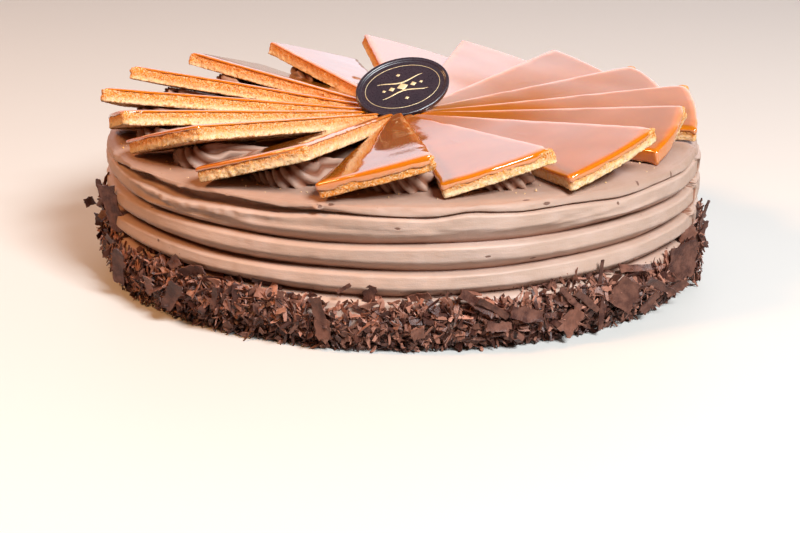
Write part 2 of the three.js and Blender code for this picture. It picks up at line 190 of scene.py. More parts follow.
# The biggest shavings, listed one by one: angle, height, length, width, turn in the wall's plane from
# level, lean out at one end, roll, curl in degrees over the length, tone from dark to milk, distance off
# the wall.
FLAKES_BY_HAND = table("angle z length width turn lean roll curl tone out", [
    (-157.5, 35, 20, 8, 104, 4, 8, 16, 0.2, 1.0),
    (-163, 41, 7, 2.4, 96, 10, 20, 10, 0.05, 2.2),
    (-166, 26, 8, 3.4, 70, 20, 30, 120, 0.1, 3.2),
    (-174, 28, 9, 3.5, 10, 62, 20, 50, 0.05, 4.2),
    (-149.5, 15.5, 17, 5.2, 74, 14, 12, 20, 0.3, 2.4),
    (-138.7, 13.8, 8.5, 4.6, 80, 18, -16, 30, 0.75, 2.6),
    (-131.9, 13.4, 15, 5.6, 58, 14, 10, 24, 0.3, 2.6),
    (-128.3, 24.6, 12, 4.6, 14, 12, 24, 40, 0.2, 1.8),
    (-133.6, 24.8, 6.5, 4.2, 40, 10, -8, 14, 0.4, 1.0),
    (-123.9, 22.3, 12, 2.2, 6, 14, 14, 30, 0.15, 1.8),
    (-122.6, 16.7, 10.5, 2.6, 76, 14, -14, 24, 0.3, 2.4),
    (-110.3, 19.8, 7.5, 3.0, 80, 8, 10, 18, 0.6, 1.2),
    (-103.1, 14.8, 18, 5.4, 100, 9, -12, 22, 0.4, 2.4),
    (-99.3, 26.6, 6.5, 1.6, 36, 12, 0, 20, 0.2, 0.9),
    (-95.3, 23.2, 8.5, 5.0, 84, 8, -20, 30, 0.15, 1.4),
    (-87, 23, 9, 3.2, 12, 10, 24, 20, 0.6, 1.4),
    (-87.2, 9.9, 5, 4.6, 20, 6, 10, 12, 0.85, 3.4),
    (-77.6, 20.6, 17, 3.8, 142, 9, 26, 22, 0.2, 1.8),
    (-75, 19, 15, 2.8, 146, 11, -18, 26, 0.35, 2.6),
    (-69.1, 15, 14, 4.8, 166, 9, 14, 18, 0.2, 2.4),
    (-74.2, 11.5, 10, 4.2, 172, 10, 12, 30, 0.35, 3.2),
    (-60.8, 9.5, 11, 7.5, 50, 8, -12, 22, 0.8, 3.0),
    (-60.8, 18.5, 14, 2.4, 134, 9, 20, 18, 0.3, 1.4),
    (-57.6, 16.6, 15, 2.8, 138, 12, -14, 24, 0.4, 2.0),
    (-53.9, 22, 19, 1.7, 88, 7, 6, 9, 0.1, 2.4),
    (-54.4, 10, 14, 1.8, 92, 9, -8, 12, 0.25, 3.6),
    (-49.4, 16.2, 12.5, 10.5, 64, 9, -8, 16, 0.45, 2.6),
    (-45.2, 23.4, 17, 3.0, 172, 10, 34, 36, 0.4, 2.4),
    (-40.8, 15.6, 19, 3.4, 152, 12, -26, 42, 0.5, 3.0),
    (-41.9, 8.4, 11, 3.8, 56, 14, 10, 20, 0.4, 3.4),
    (-33, 9.5, 10, 4.4, 24, 14, 12, 24, 0.55, 3.2),
    (-31, 19.6, 16, 12.5, 100, 6, -8, 14, 0.3, 1.8),
    (-22.8, 23.8, 11.5, 8.5, 112, 8, -12, 20, 1.0, 2.0),
    (-17.8, 31.5, 13, 2.6, 72, 4, 20, 14, 0.15, 1.2),
    (-13.6, 21, 11, 2.4, 86, 14, -10, 10, 0.15, 1.2),
    (72, 22, 14, 6, 80, 9, 12, 22, 0.3, 1.8),
    (78, 24, 12, 3, 110, 10, -14, 26, 0.2, 2.0),
    (128, 18, 13, 7, 60, 10, 10, 26, 0.5, 2.6),
    (22, 16, 12, 8, 100, 9, -12, 20, 0.4, 2.6),
])

# ---- The two layers of a wedge: how far they keep inside its cut, how round its corners are ----
SPONGE_INSET = 0.2 * MM
SPONGE_ROUNDING = 0.9 * MM
SPONGE_COLUMNS = 460
CARAMEL_INSET = 0.15 * MM
CARAMEL_ROUNDING = 1.4 * MM
CARAMEL_COLUMNS = 400

# ---- The piped swirls ----
SWIRL_ROWS = 130
SWIRL_COLUMNS = 60
SWIRL_SEAT = 0.45

# ---- The plaque ----
PLAQUE_CENTRE = (0, 4, 76)
PLAQUE_LEAN = 45
PLAQUE_ROLL = 19
# The printed lozenges: their place on the face and half their length.
LOZENGES = [
    (0, 0, 2.6), (-5, 0, 1.5), (5, 0, 1.5), (-8.6, 0, 0.9), (8.6, 0, 0.9), (0, 6.2, 1.0), (0, -6.2, 1.0),
]

# ---- Loose crumbs ----
SPONGE_CRUMBS = 130
CHOCOLATE_CRUMBS = 260
CRUMB_SEED = 909

# ---- Colours laid over the main ones: as painted shade in the cream's holes, as dust under the shavings,
# as painted shade in the deep grooves, as syrup in the crumb and as bloom on the shavings ----
HOLE_SHADE_BROWN = (0.12, 0.038, 0.02)
DUST_BROWN = (0.06, 0.02, 0.012)
GROOVE_SHADE_BROWN = (0.20, 0.05, 0.014)
SYRUP_STAIN = (0.74, 0.21, 0.012)
BLOOM = (0.32, 0.15, 0.10)

# ---- The stage ----
FLOOR_SIZE = 8
SENSOR_WIDTH = 36
FRAME_SHIFT = -1.2 / 800
CAMERA_ROLL = 0.44
LIGHT_AIM = (0, 0, 0.04)


# ------------------------------------------------------------------------------------ settings

def setting(name, description, default, **more):
    return bpy.props.FloatProperty(name=name, description=description, default=default, **more)


def length(name, description, default):
    return setting(name, description, default, unit="LENGTH", min=0)


def share(name, description, default):
    return setting(name, description, default, subtype="FACTOR", min=0, max=1)


def turn(name, description, default):
    return setting(name, description, math.radians(default), subtype="ANGLE", unit="ROTATION")


def count(name, description, default):
    return bpy.props.IntProperty(name=name, description=description, default=default, min=1)


def colour(name, description, default):
    return bpy.props.FloatVectorProperty(
        name=name, description=description, default=default, subtype="COLOR", size=3, min=0, max=1
    )


class CreamSettings(bpy.types.PropertyGroup):
    radius: length("Radius", "Radius at the ridges' crests", 130 * MM)
    height: length("Height", "Height of the flat top", 59.5 * MM)
    groove_depth: length("Groove depth", "How deep the comb cut", 5.7 * MM)
    top_groove: length("Top groove", "Height of the highest groove", 54 * MM)
    pitch: length("Ridge pitch", "Height of one ridge", 10.45 * MM)
    columns: count("Columns", "Steps round the cake", 860)
    light: colour("Light cream", "Colour of the cream where it is smooth", (0.62, 0.425, 0.345))
    dark: colour("Dark cream", "Colour of its darker streaks", (0.54, 0.35, 0.265))
    # Painted shade: the top gets a darker, warmer tone for its shade and the orange light bounced onto it.
    top: colour("Top cream", "Colour of the smoothed top", (0.45, 0.266, 0.193))
    roughness: share("Roughness", "Roughness of the cream", 0.5)


class ShavingSettings(bpy.types.PropertyGroup):
    slivers: count("Slivers", "Number of thin slivers", 4700)
    chips: count("Chips", "Number of small chips", 3100)
    flakes: count("Flakes", "Number of larger flakes", 300)
    curls: count("Curls", "Number of rolled curls", 90)
    thickness: length("Thickness", "Thickness of a flake", 0.3 * MM)
    dark: colour("Dark chocolate", "Colour of the dark shavings", (0.058, 0.0145, 0.009))
    milk: colour("Milk chocolate", "Colour of the paler shavings", (0.56, 0.235, 0.155))
    roughness: share("Roughness", "Roughness of the shavings", 0.4)


class WedgeSettings(bpy.types.PropertyGroup):
    sponge_thickness: length("Sponge", "Thickness of the sponge", 4.7 * MM)
    caramel_thickness: length("Caramel", "Thickness of the caramel", 1.5 * MM)
    kerf: length("Kerf", "Half the knife's cut between two wedges", 0.35 * MM)
    crumb_depth: length("Crumb", "Depth of the open crumb", 0.38 * MM)
    soak: length("Soak", "How far the crumb reaches up past the sponge's cut height", 0.75 * MM)
    shoulder: length("Shoulder", "Width of the caramel's rounded shoulder", 3.1 * MM)
    dish: share("Dish", "Slope the set caramel takes on towards a wedge's low edge", 0.085)
    crumb: colour("Crumb colour", "Colour of the pale crumb", (0.98, 0.69, 0.42))
    golden: colour("Golden crumb", "Colour of the darker crumb", (0.90, 0.49, 0.17))
    baked: colour("Baked skin", "Colour of the browned skin", (0.36, 0.13, 0.025))
    syrup: colour("Caramel depth", "Colour of the caramel where it lies flat", (0.385, 0.106, 0.006))
    amber: colour("Caramel edge", "Colour of the caramel where light comes through", (0.74, 0.19, 0.004))
    gloss: share("Caramel roughness", "Roughness of the caramel", 0.06)


class SwirlSettings(bpy.types.PropertyGroup):
    head_radius: length("Head radius", "Distance of the head from the cake's axis", 110 * MM)
    start: length("Start", "Where the head starts, from the wedge's low edge", 7.5 * MM)
    head_length: length("Head length", "Length of the head along the rim", 21 * MM)
    length: length("Length", "Length of a swirl from its head to the end of its tail", 66 * MM)
    girth: length("Girth", "Radius of the fattest part", 6.6 * MM)
    flutes: count("Flutes", "Flutes of the piping nozzle", 5)
    flute_depth: share("Flute depth", "Depth of the flutes", 0.46)


class PlaqueSettings(bpy.types.PropertyGroup):
    half_length: length("Half length", "Half the oval's length", 21.2 * MM)
    half_width: length("Half width", "Half the oval's width", 14.8 * MM)
    thickness: length("Thickness", "Thickness of the tablet", 3 * MM)
    rim_width: length("Rim width", "Width of the raised rim", 1.6 * MM)
    recess: length("Recess", "Depth of the face below the rim", 0.6 * MM)
    rosette_radius: length("Rosette radius", "Radius of the rosette behind", 7.3 * MM)
    rosette_height: length("Rosette height", "Height of the rosette behind", 15 * MM)
    chocolate: colour("Chocolate", "Colour of the tablet", (0.026, 0.017, 0.026))
    gold: colour("Gold", "Colour of the printed ornament", (0.80, 0.60, 0.32))


class StageSettings(bpy.types.PropertyGroup):
    distance: length("Distance", "From the camera to the point it looks at", 781 * MM)
    elevation: turn("Elevation", "Camera's height above level", 17.34)
    aim: setting("Aim", "Height of the point the camera looks at", -5.5 * MM, unit="LENGTH")
    lens: setting("Lens", "Focal length on a 36 mm sensor, in millimetres", 77.5, min=1)
    backdrop: setting("Backdrop", "Brightness of the white backdrop behind", 1.8, min=0)
    ambient: setting("Ambient", "Brightness of the room all round", 0.08, min=0)
    floor: colour("Floor", "Colour of the floor", (0.78, 0.74, 0.70))


# ------------------------------------------------------------------------------------ number tools

def lattice(ix, iy, iz, seed):
    """A fixed number from -1 to 1 for each lattice point, from an integer hash of its indices."""
    mixed = (ix * 73856093) ^ (iy * 19349663) ^ (iz * 83492791) ^ (seed * 40503)
    mixed = ((mixed ^ (mixed >> 13)) * 1274126177) & 0x7FFFFFFF
    mixed = (mixed ^ (mixed >> 16)) & 0xFFFFFF
    return mixed / 0x7FFFFF - 1


def smooth_noise(points, size, seed):
    """Lattice numbers blended with t*t*(3-2t) along each axis; one lattice step is size long."""
    scaled = points / size
    base = np.floor(scaled).astype(np.int64)
    t = scaled - base
    t = t * t * (3 - 2 * t)
    total = np.zeros(points.shape[:-1])
    for corner in np.ndindex(2, 2, 2):
        step = np.array(corner)
        weight = np.prod(np.where(step == 1, t, 1 - t), axis=-1)
        i = base + step
        total += weight * lattice(i[..., 0], i[..., 1], i[..., 2], seed)
    return total


def layered_noise(points, size, layers, seed):
    """Smooth noise plus layers of half the size and half the height each."""
    total = 0
    for layer in range(layers):
        total = total + smooth_noise(points, size / 2**layer, seed + 17 * layer) / 2**layer
    return total


def nearest_cell(points, size, seed):
    """Distance, in cells, to the nearest of one jittered point per lattice cell."""
    scaled = points / size
    base = np.floor(scaled).astype(np.int64)
    best = np.full(points.shape[:-1], FAR)
    for near in np.ndindex(3, 3, 3):
        i = base + np.array(near) - 1
        x, y, z = i[..., 0], i[..., 1], i[..., 2]
        offset = np.stack([lattice(x, y, z, seed + k) for k in (1, 2, 3)], axis=-1)
        centre = i + 0.5 + 0.45 * offset
        best = np.minimum(best, np.linalg.norm(scaled - centre, axis=-1))
    return best


def past(angle, start):
    """How far an angle is past another, from -180 to 180."""
    return (angle - start + 180) % 360 - 180


def smoothstep(low, high, value):
    """0 below low, 1 above high, t*t*(3-2t) between them."""
    t = np.clip((value - low) / (high - low), 0, 1)
    return t * t * (3 - 2 * t)


def around(angle, radius, z):
    """The points at these angles, radii and heights, as an array of (..., 3)."""
    theta = np.radians(angle)
    parts = np.broadcast_arrays(radius * np.cos(theta), radius * np.sin(theta), z)
    return np.stack(parts, axis=-1)


def turned(points, degrees, axis):
    """The points turned about X (0), Y (1) or Z (2) through the origin."""
    angle = math.radians(degrees)
    c, s = math.cos(angle), math.sin(angle)
    a, b = [(1, 2), (2, 0), (0, 1)][axis]
    result = points.copy()
    result[..., a] = c * points[..., a] - s * points[..., b]
    result[..., b] = s * points[..., a] + c * points[..., b]
    return result


# ------------------------------------------------------------------------------------ mesh tools

def grid_faces(rows, columns):
    """Quads between neighbouring rows of a grid whose columns close into a ring."""
    i, j = np.meshgrid(np.arange(rows - 1), np.arange(columns), indexing="ij")
    k = (j + 1) % columns
    low, high = i * columns, (i + 1) * columns
    return np.stack([low + j, low + k, high + k, high + j], -1).reshape(-1, 4)


def repeated(faces, number, size):
    """The faces of a template of size points, once for each of a number of copies."""
    return (faces[None] + (np.arange(number) * size)[:, None, None]).reshape(-1, faces.shape[1])


def add_mesh(name, vertices, quads, triangles=None, attributes=None):
    """A smooth-shaded object from arrays of points, quads and triangles, with numbers kept per point."""
    triangles = np.zeros((0, 3), int) if triangles is None else triangles
    corners = np.concatenate([quads.ravel(), triangles.ravel()])
    starts = np.concatenate([np.arange(len(quads)) * 4, len(quads) * 4 + np.arange(len(triangles)) * 3])
    mesh = bpy.data.meshes.new(name)
    mesh.vertices.add(len(vertices))
    mesh.vertices.foreach_set("co", np.asarray(vertices, np.float32).ravel())
    mesh.loops.add(len(corners))
    mesh.loops.foreach_set("vertex_index", corners.astype(np.int32))
    mesh.polygons.add(len(starts))
    mesh.polygons.foreach_set("loop_start", starts.astype(np.int32))
    mesh.polygons.foreach_set("use_smooth", np.ones(len(starts), bool))
    for key, values in (attributes or {}).items():
        layer = mesh.attributes.new(key, "FLOAT", "POINT")
        layer.data.foreach_set("value", np.asarray(values, np.float32).ravel())
    mesh.update(calc_edges=True)
    mesh.validate()
    piece = bpy.data.objects.new(name, mesh)
    bpy.context.scene.collection.objects.link(piece)
    return piece


def add_closed(name, rows, first, last, attributes=None):
    """A closed skin: rings of points one above the other (R, C, 3), shut by a pole at each end."""
    height, columns = rows.shape[:2]
    vertices = np.concatenate([rows.reshape(-1, 3), [first, last]])
    j = np.arange(columns)
    k = (j + 1) % columns
    pole = np.full(columns, height * columns)
    top = (height - 1) * columns
    shut = np.concatenate([np.stack([pole, k, j], -1), np.stack([pole + 1, top + j, top + k], -1)])
    kept = {
        key: np.append(values.ravel(), [values[0].mean(), values[-1].mean()])
        for key, values in (attributes or {}).items()
    }
    return add_mesh(name, vertices, grid_faces(height, columns), shut, kept)


def finish_piece(piece, material, slot, *nodes):
    """Gives a piece its material, lets it ride on the root and stand for its nodes. The slot is not used.
    """
    piece.data.materials.append(material)
    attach(piece, "root")
    if nodes:
        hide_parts(*nodes)


# ------------------------------------------------------------------------------------ shader tools

class Shader:
    """A material's or group's node tree, with short ways to add and join nodes."""

    def __init__(self, tree):
        self.tree = tree

    def node(self, kind, inputs=None, **settings):
        made = self.tree.nodes.new(kind)
        for key, value in settings.items():
            setattr(made, key, value)
        for key, value in (inputs or {}).items():
            self.feed(made.inputs[key], value)
        return made

    def feed(self, socket, value):
        if isinstance(value, bpy.types.NodeSocket):
            self.tree.links.new(value, socket)
        elif socket.type == "RGBA" and len(value) == 3:
            socket.default_value = (*value, 1)
        else:
            socket.default_value = value

    def math(self, operation, a, b=0.0, clamp=False):
        made = self.node("ShaderNodeMath", operation=operation, use_clamp=clamp)
        self.feed(made.inputs[0], a)
        self.feed(made.inputs[1], b)
        return made.outputs[0]

    def plus(self, a, b, clamp=False):
        return self.math("ADD", a, b, clamp)

    def minus(self, a, b, clamp=False):
        return self.math("SUBTRACT", a, b, clamp)

    def times(self, a, b, clamp=False):
        return self.math("MULTIPLY", a, b, clamp)

    def mix(self, factor, a, b):
        made = self.node("ShaderNodeMix", data_type="RGBA")
        self.feed(made.inputs[0], factor)
        self.feed(made.inputs[6], a)
        self.feed(made.inputs[7], b)
        return made.outputs[2]

    def span(self, value, low, high, to_low=0.0, to_high=1.0):
        made = self.node("ShaderNodeMapRange", interpolation_type="SMOOTHSTEP")
        for index, number in enumerate((value, low, high, to_low, to_high)):
            self.feed(made.inputs[index], number)
        return made.outputs[0]

    def noise(self, vector, scale, detail=2.0, roughness=0.5):
        inputs = {"Vector": vector, "Scale": scale, "Detail": detail, "Roughness": roughness}
        return self.node("ShaderNodeTexNoise", inputs).outputs["Fac"]

    def attribute(self, name):
        return self.node("ShaderNodeAttribute", attribute_name=name).outputs["Fac"]

    def place(self):
        return self.node("ShaderNodeTexCoord").outputs["Object"]

    def stretched(self, vector, scale):
        return self.node("ShaderNodeMapping", {"Vector": vector, "Scale": scale}).outputs[0]

    def bump(self, height, distance, strength=1.0, normal=None):
        inputs = {"Height": height, "Distance": distance, "Strength": strength}
        if normal is not None:
            inputs["Normal"] = normal
        return self.node("ShaderNodeBump", inputs).outputs[0]


def new_group(name, numbers, results):
    """A shader node group with a Vector and numbers in, and numbers out."""
    tree = bpy.data.node_groups.new(name, "ShaderNodeTree")
    tree.interface.new_socket("Vector", in_out="INPUT", socket_type="NodeSocketVector")
    for key, value in numbers.items():
        tree.interface.new_socket(key, in_out="INPUT", socket_type="NodeSocketFloat").default_value = value
    for key in results:
        tree.interface.new_socket(key, in_out="OUTPUT", socket_type="NodeSocketFloat")
    shader = Shader(tree)
    return shader, shader.node("NodeGroupInput").outputs, shader.node("NodeGroupOutput").inputs


def mottle_group():
    """Broad clouds and fine grain from two noises: Clouds and Grain, each 0 to 1."""
    if "mottle" in bpy.data.node_groups:
        return bpy.data.node_groups["mottle"]
    scales = {"Cloud Scale": 60.0, "Grain Scale": 1200.0}
    shader, given, result = new_group("mottle", scales, ["Clouds", "Grain"])
    clouds = shader.noise(given["Vector"], given["Cloud Scale"], 3.0, 0.55)
    grain = shader.noise(given["Vector"], given["Grain Scale"], 2.0, 0.6)
    shader.feed(result["Clouds"], shader.span(clouds, 0.3, 0.7))
    shader.feed(result["Grain"], grain)
    return shader.tree


def pores_group():
    """Small round holes: a mask that is 1 in a hole, from the distance to scattered points, where a
    second noise lets only some of them open."""
    if "pores" in bpy.data.node_groups:
        return bpy.data.node_groups["pores"]
    shader, given, result = new_group("pores", {"Scale": 300.0, "Size": 0.3, "Spread": 0.5}, ["Hole"])
    wobble = shader.noise(given["Vector"], shader.times(given["Scale"], 2.0), 1.0)
    cells = shader.node("ShaderNodeTexVoronoi", {"Vector": given["Vector"], "Scale": given["Scale"]})
    reach = shader.plus(cells.outputs["Distance"], shader.times(wobble, 0.15))
    hole = shader.minus(given["Size"], reach)
    hole = shader.times(hole, 9.0, clamp=True)
    pick = shader.node("ShaderNodeSeparateColor", {"Color": cells.outputs["Color"]}).outputs[0]
    some = shader.math("LESS_THAN", pick, given["Spread"])
    shader.feed(result["Hole"], shader.times(hole, some))
    return shader.tree


def use_group(shader, tree, inputs):
    made = shader.node("ShaderNodeGroup")
    made.node_tree = tree
    for key, value in inputs.items():
        shader.feed(made.inputs[key], value)
    return made.outputs


def mottled(shader, place, clouds, grain):
    """The mottle group's Clouds and Grain at these scales."""
    inputs = {"Vector": place, "Cloud Scale": clouds, "Grain Scale": grain}
    return use_group(shader, mottle_group(), inputs)


def pored(shader, place, scale, size, spread):
    """The pores group's mask of holes at this scale and size; spread is the share of them that open."""
    inputs = {"Vector": place, "Scale": scale, "Size": size, "Spread": spread}
    return use_group(shader, pores_group(), inputs)["Hole"]


def new_material(name, **sockets):
    """A material with one Principled BSDF, its plain values set on the shader's own sockets."""
    material = bpy.data.materials.new(name)
    material.use_nodes = True
    shader = Shader(material.node_tree)
    principled = material.node_tree.nodes["Principled BSDF"]
    for key, value in sockets.items():
        shader.feed(principled.inputs[key.replace("_", " ")], value)
    return material, shader, principled.inputs


def cream_material(settings):
    """Matt buttercream: soft clouds of two tans, streaked round the cake, with fine grain, chocolate dust
    where the shavings cling,
    and painted shade: dark brown in a few air holes, the pits, the deep grooves and creases, and a darker,
    warmer tone on the top."""
    if "buttercream" in bpy.data.materials:
        return bpy.data.materials["buttercream"]
    material, shader, sockets = new_material(
        "buttercream", Roughness=settings.roughness, Specular_IOR_Level=0.35, Subsurface_Weight=0.06,
        Subsurface_Scale=0.002, Subsurface_Radius=(1.0, 0.5, 0.3),
    )
    place = shader.place()
    mottle = mottled(shader, place, 45.0, 1500.0)
    streaks = shader.noise(shader.stretched(place, (0.5, 0.5, 3.0)), 110.0, 3.0, 0.6)
    tone = shader.times(mottle["Clouds"], shader.span(streaks, 0.35, 0.65, 0.4, 1.0))
    base = shader.mix(tone, settings.dark, settings.light)
    pores = pored(shader, place, 210.0, 0.16, 0.16)
    level = shader.node("ShaderNodeSeparateXYZ", {"Vector": place}).outputs["Z"]
    # Painted shade: above the top groove the colour turns to the darker top tone.
    shadowed = shader.span(level, 54.5 * MM, 58 * MM, 0.0, shader.span(streaks, 0.3, 0.7, 1.0, 0.75))
    base = shader.mix(shadowed, base, settings.top)
    along, upward = shader.attribute("pit_along"), shader.attribute("pit_up")
    squares = shader.plus(shader.times(along, along), shader.times(upward, upward))
    edge = shader.plus(shader.math("SQRT", squares), shader.times(mottle["Grain"], 0.5))
    near = shader.math("GREATER_THAN", shader.attribute("pit_near"), 0.97)
    pits = shader.times(shader.span(edge, 1.3, 0.85), near)
    holes = shader.math("MAXIMUM", pores, pits)
    # Painted shade: air holes and pits are coloured dark brown for the shade inside them.
    base = shader.mix(shader.times(holes, 0.8), base, HOLE_SHADE_BROWN)
    dust = shader.noise(place, 900.0, 3.0, 0.65)
    bed = shader.times(shader.attribute("bed"), shader.span(dust, 0.44, 0.54))
    base = shader.mix(bed, base, DUST_BROWN)
    # Painted shade: the seam's creases, the deep grooves and the swirls' flute valleys turn dark brown.
    crease_shade = shader.span(shader.attribute("crease_shade"), 0.25, 0.85, 0.0, 0.8)
    base = shader.mix(crease_shade, base, GROOVE_SHADE_BROWN)
    shader.feed(sockets["Base Color"], base)
    knife = shader.noise(shader.stretched(place, (0.35, 0.35, 2.5)), 420.0, 3.0, 0.6)
    height = shader.plus(shader.times(mottle["Grain"], 0.5), knife)
    height = shader.minus(height, shader.times(holes, 1.2))
    shader.feed(sockets["Normal"], shader.bump(height, 0.00018, 0.8))
    return material


def sponge_material(settings):
    """Open golden crumb: browned skin below, pale crumb in the middle, syrup-stained crumb on top, with
    pores in every size, darkened towards the skin's brown as painted shade. The attribute rise is 0 at the
    skin and 1 under the caramel."""
    if "sponge_crumb" in bpy.data.materials:
        return bpy.data.materials["sponge_crumb"]
    material, shader, sockets = new_material(
        "sponge_crumb", Roughness=0.85, Specular_IOR_Level=0.2, Subsurface_Weight=0.1,
        Subsurface_Scale=0.001, Subsurface_Radius=(1.0, 0.6, 0.25),
    )
    place = shader.place()
    mottle = mottled(shader, place, 110.0, 1700.0)
    coarse = shader.noise(place, 800.0, 3.0, 0.7)
    rise = shader.plus(shader.attribute("rise"), shader.times(coarse, 0.55))
    rise = shader.plus(rise, shader.times(mottle["Clouds"], 0.12))
    rise = shader.minus(rise, 0.33)
    base = shader.mix(shader.span(coarse, 0.38, 0.60), settings.golden, settings.crumb)
    base = shader.mix(shader.span(mottle["Clouds"], 0.2, 1.0, 0.0, 0.55), base, settings.crumb)
    reach = shader.minus(rise, 0.62)
    stain = shader.times(shader.plus(reach, shader.attribute("soaked")), 3.2, clamp=True)
    stain = shader.times(stain, shader.span(mottle["Grain"], 0.38, 0.60, 0.25, 1.0))
    base = shader.mix(stain, base, SYRUP_STAIN)
    skin = shader.span(rise, 0.10, -0.06)
    base = shader.mix(skin, base, settings.baked)
    small = pored(shader, place, 1300.0, 0.42, 0.5)
    large = pored(shader, place, 480.0, 0.34, 0.4)
    holes = shader.math("MAXIMUM", small, large)
    # Painted shade: the pores are darkened towards the baked skin's brown.
    dark = shader.mix(0.6, base, settings.baked)
    base = shader.mix(shader.times(holes, 0.4), base, dark)
    shader.feed(sockets["Base Color"], base)
    height = shader.minus(coarse, shader.times(holes, 0.6))
    shader.feed(sockets["Normal"], shader.bump(height, 0.00045, 1.0))
    return material


def caramel_material(settings):
    """Glossy set caramel: deep orange on the flat, amber at the edges where it is lit through, with slow
    streaks. The attribute edge is 1 on the sides and falls to 0 inside. The sheet dips towards the wedge's
    low edge by steep * reach * cut * (1 - across)^evenness, where across is the share of the wedge's angle
    from the flat coordinates kept on each point. From the tip outwards steep falls from 2.4 to 0.4 times
    the dish and evenness rises from 1.25 to 2; a pool above 1 spreads that over a longer way. The whole
    sheet also sinks by 2.6 mm from its tip outwards."""
    if "set_caramel" in bpy.data.materials:
        return bpy.data.materials["set_caramel"]
    material, shader, sockets = new_material(
        "set_caramel", Roughness=settings.gloss, IOR=1.8, Specular_IOR_Level=0.95, Subsurface_Weight=0.2,
        Subsurface_Scale=0.0015, Subsurface_Radius=(1.0, 0.35, 0.08),
    )
    place = shader.place()
    mottle = mottled(shader, place, 40.0, 500.0)
    edge = shader.attribute("edge")
    tone = shader.plus(edge, shader.times(mottle["Clouds"], 0.22), clamp=True)
    base = shader.mix(tone, settings.syrup, settings.amber)
    shader.feed(sockets["Base Color"], base)
    slow = shader.noise(place, 35.0, 1.0, 0.4)
    fine = shader.times(shader.noise(place, 330.0, 3.0, 0.6), 0.025)
    rough = shader.bump(shader.plus(slow, fine), 0.0012, 0.45)
    x, y, cut, pool = (shader.attribute(key) for key in ("flat_x", "flat_y", "cut", "pool"))
    squares = shader.plus(shader.times(x, x), shader.times(y, y))
    reach = shader.math("SQRT", squares)
    across = shader.math("DIVIDE", shader.math("ARCTAN2", y, x), cut, clamp=True)
    pooled = shader.math("DIVIDE", reach, pool)
    evenness = shader.span(pooled, 24.0, 80.0, 1.25, 2.0)
    low = shader.math("POWER", shader.minus(1.0, across), evenness)
    steep = shader.span(pooled, 16.0, 64.0, 2.4 * settings.dish, 0.4 * settings.dish)
    dip = shader.times(shader.times(reach, cut), shader.times(low, steep))
    crowned = shader.minus(6.0, shader.span(reach, 6.0, 64.0, 0.0, 2.6))
    shader.feed(sockets["Normal"], shader.bump(shader.minus(crowned, dip), MM, 1.0, rough))
    return material


def shaving_material(settings):
    """Shaved chocolate: each piece has its own tone from dark to milk, with scraping streaks, a bloom of
    paler dust and a soft shine."""
    if "shaved_chocolate" in bpy.data.materials:
        return bpy.data.materials["shaved_chocolate"]
    material, shader, sockets = new_material(
        "shaved_chocolate", Roughness=settings.roughness, Specular_IOR_Level=0.4,
    )
    place = shader.place()
    mottle = mottled(shader, place, 260.0, 2200.0)
    tone = shader.plus(shader.attribute("tone"), shader.times(mottle["Clouds"], 0.3))
    tone = shader.minus(tone, 0.15, clamp=True)
    base = shader.mix(tone, settings.dark, settings.milk)
    bloom = shader.times(shader.span(mottle["Grain"], 0.52, 0.75), 0.2)
    base = shader.mix(bloom, base, BLOOM)
    shader.feed(sockets["Base Color"], base)
    scrape = shader.noise(shader.stretched(place, (3.0, 3.0, 0.8)), 520.0, 3.0, 0.6)
    shader.feed(sockets["Normal"], shader.bump(scrape, 0.00035, 0.8))
    return material


def plaque_material(settings):
    """Moulded dark chocolate with a satin shine and a trace of bloom."""
    material, shader, sockets = new_material(
        "plaque_chocolate", Specular_IOR_Level=0.6, Coat_Weight=0.35, Coat_Roughness=0.18,
    )
    place = shader.place()
    mottle = mottled(shader, place, 140.0, 1800.0)
    base = shader.mix(mottle["Clouds"], settings.chocolate, (0.036, 0.022, 0.032))
    shader.feed(sockets["Base Color"], base)
    shader.feed(sockets["Roughness"], shader.span(mottle["Grain"], 0.3, 0.7, 0.24, 0.36))
    shader.feed(sockets["Normal"], shader.bump(mottle["Grain"], 0.00004, 0.6))
    return material


def gold_material(settings):
    """Pale gold print, a little worn."""
    material, shader, sockets = new_material("gold_print", Metallic=0.35, Roughness=0.42)
    mottle = mottled(shader, shader.place(), 500.0, 2600.0)
    base = shader.mix(mottle["Clouds"], settings.gold, (0.88, 0.72, 0.44))
    base = shader.mix(shader.span(mottle["Grain"], 0.60, 0.72), base, (0.30, 0.20, 0.12))
    shader.feed(sockets["Base Color"], base)
    return material


def floor_material(settings):
    """A plain pale floor with the faintest unevenness. It throws little light back up on matt surfaces, as
    if it were small, but its mirror image stays pale."""
    material, shader, sockets = new_material("pale_floor", Roughness=0.6)
    clouds = shader.noise(shader.place(), 3.0)
    pale = shader.mix(clouds, settings.floor, [0.985 * c for c in settings.floor])
    bounced = shader.node("ShaderNodeLightPath").outputs["Is Diffuse Ray"]
    shader.feed(sockets["Base Color"], shader.mix(bounced, pale, [0.14 * c for c in settings.floor]))
    return material


# ------------------------------------------------------------------------------------ cream body

def left_share(angle):
    """0 in front of -80 degrees and 1 from -125 on to the left side, where at 180 it steps back to 0."""
    return smoothstep(-80, -125, angle)


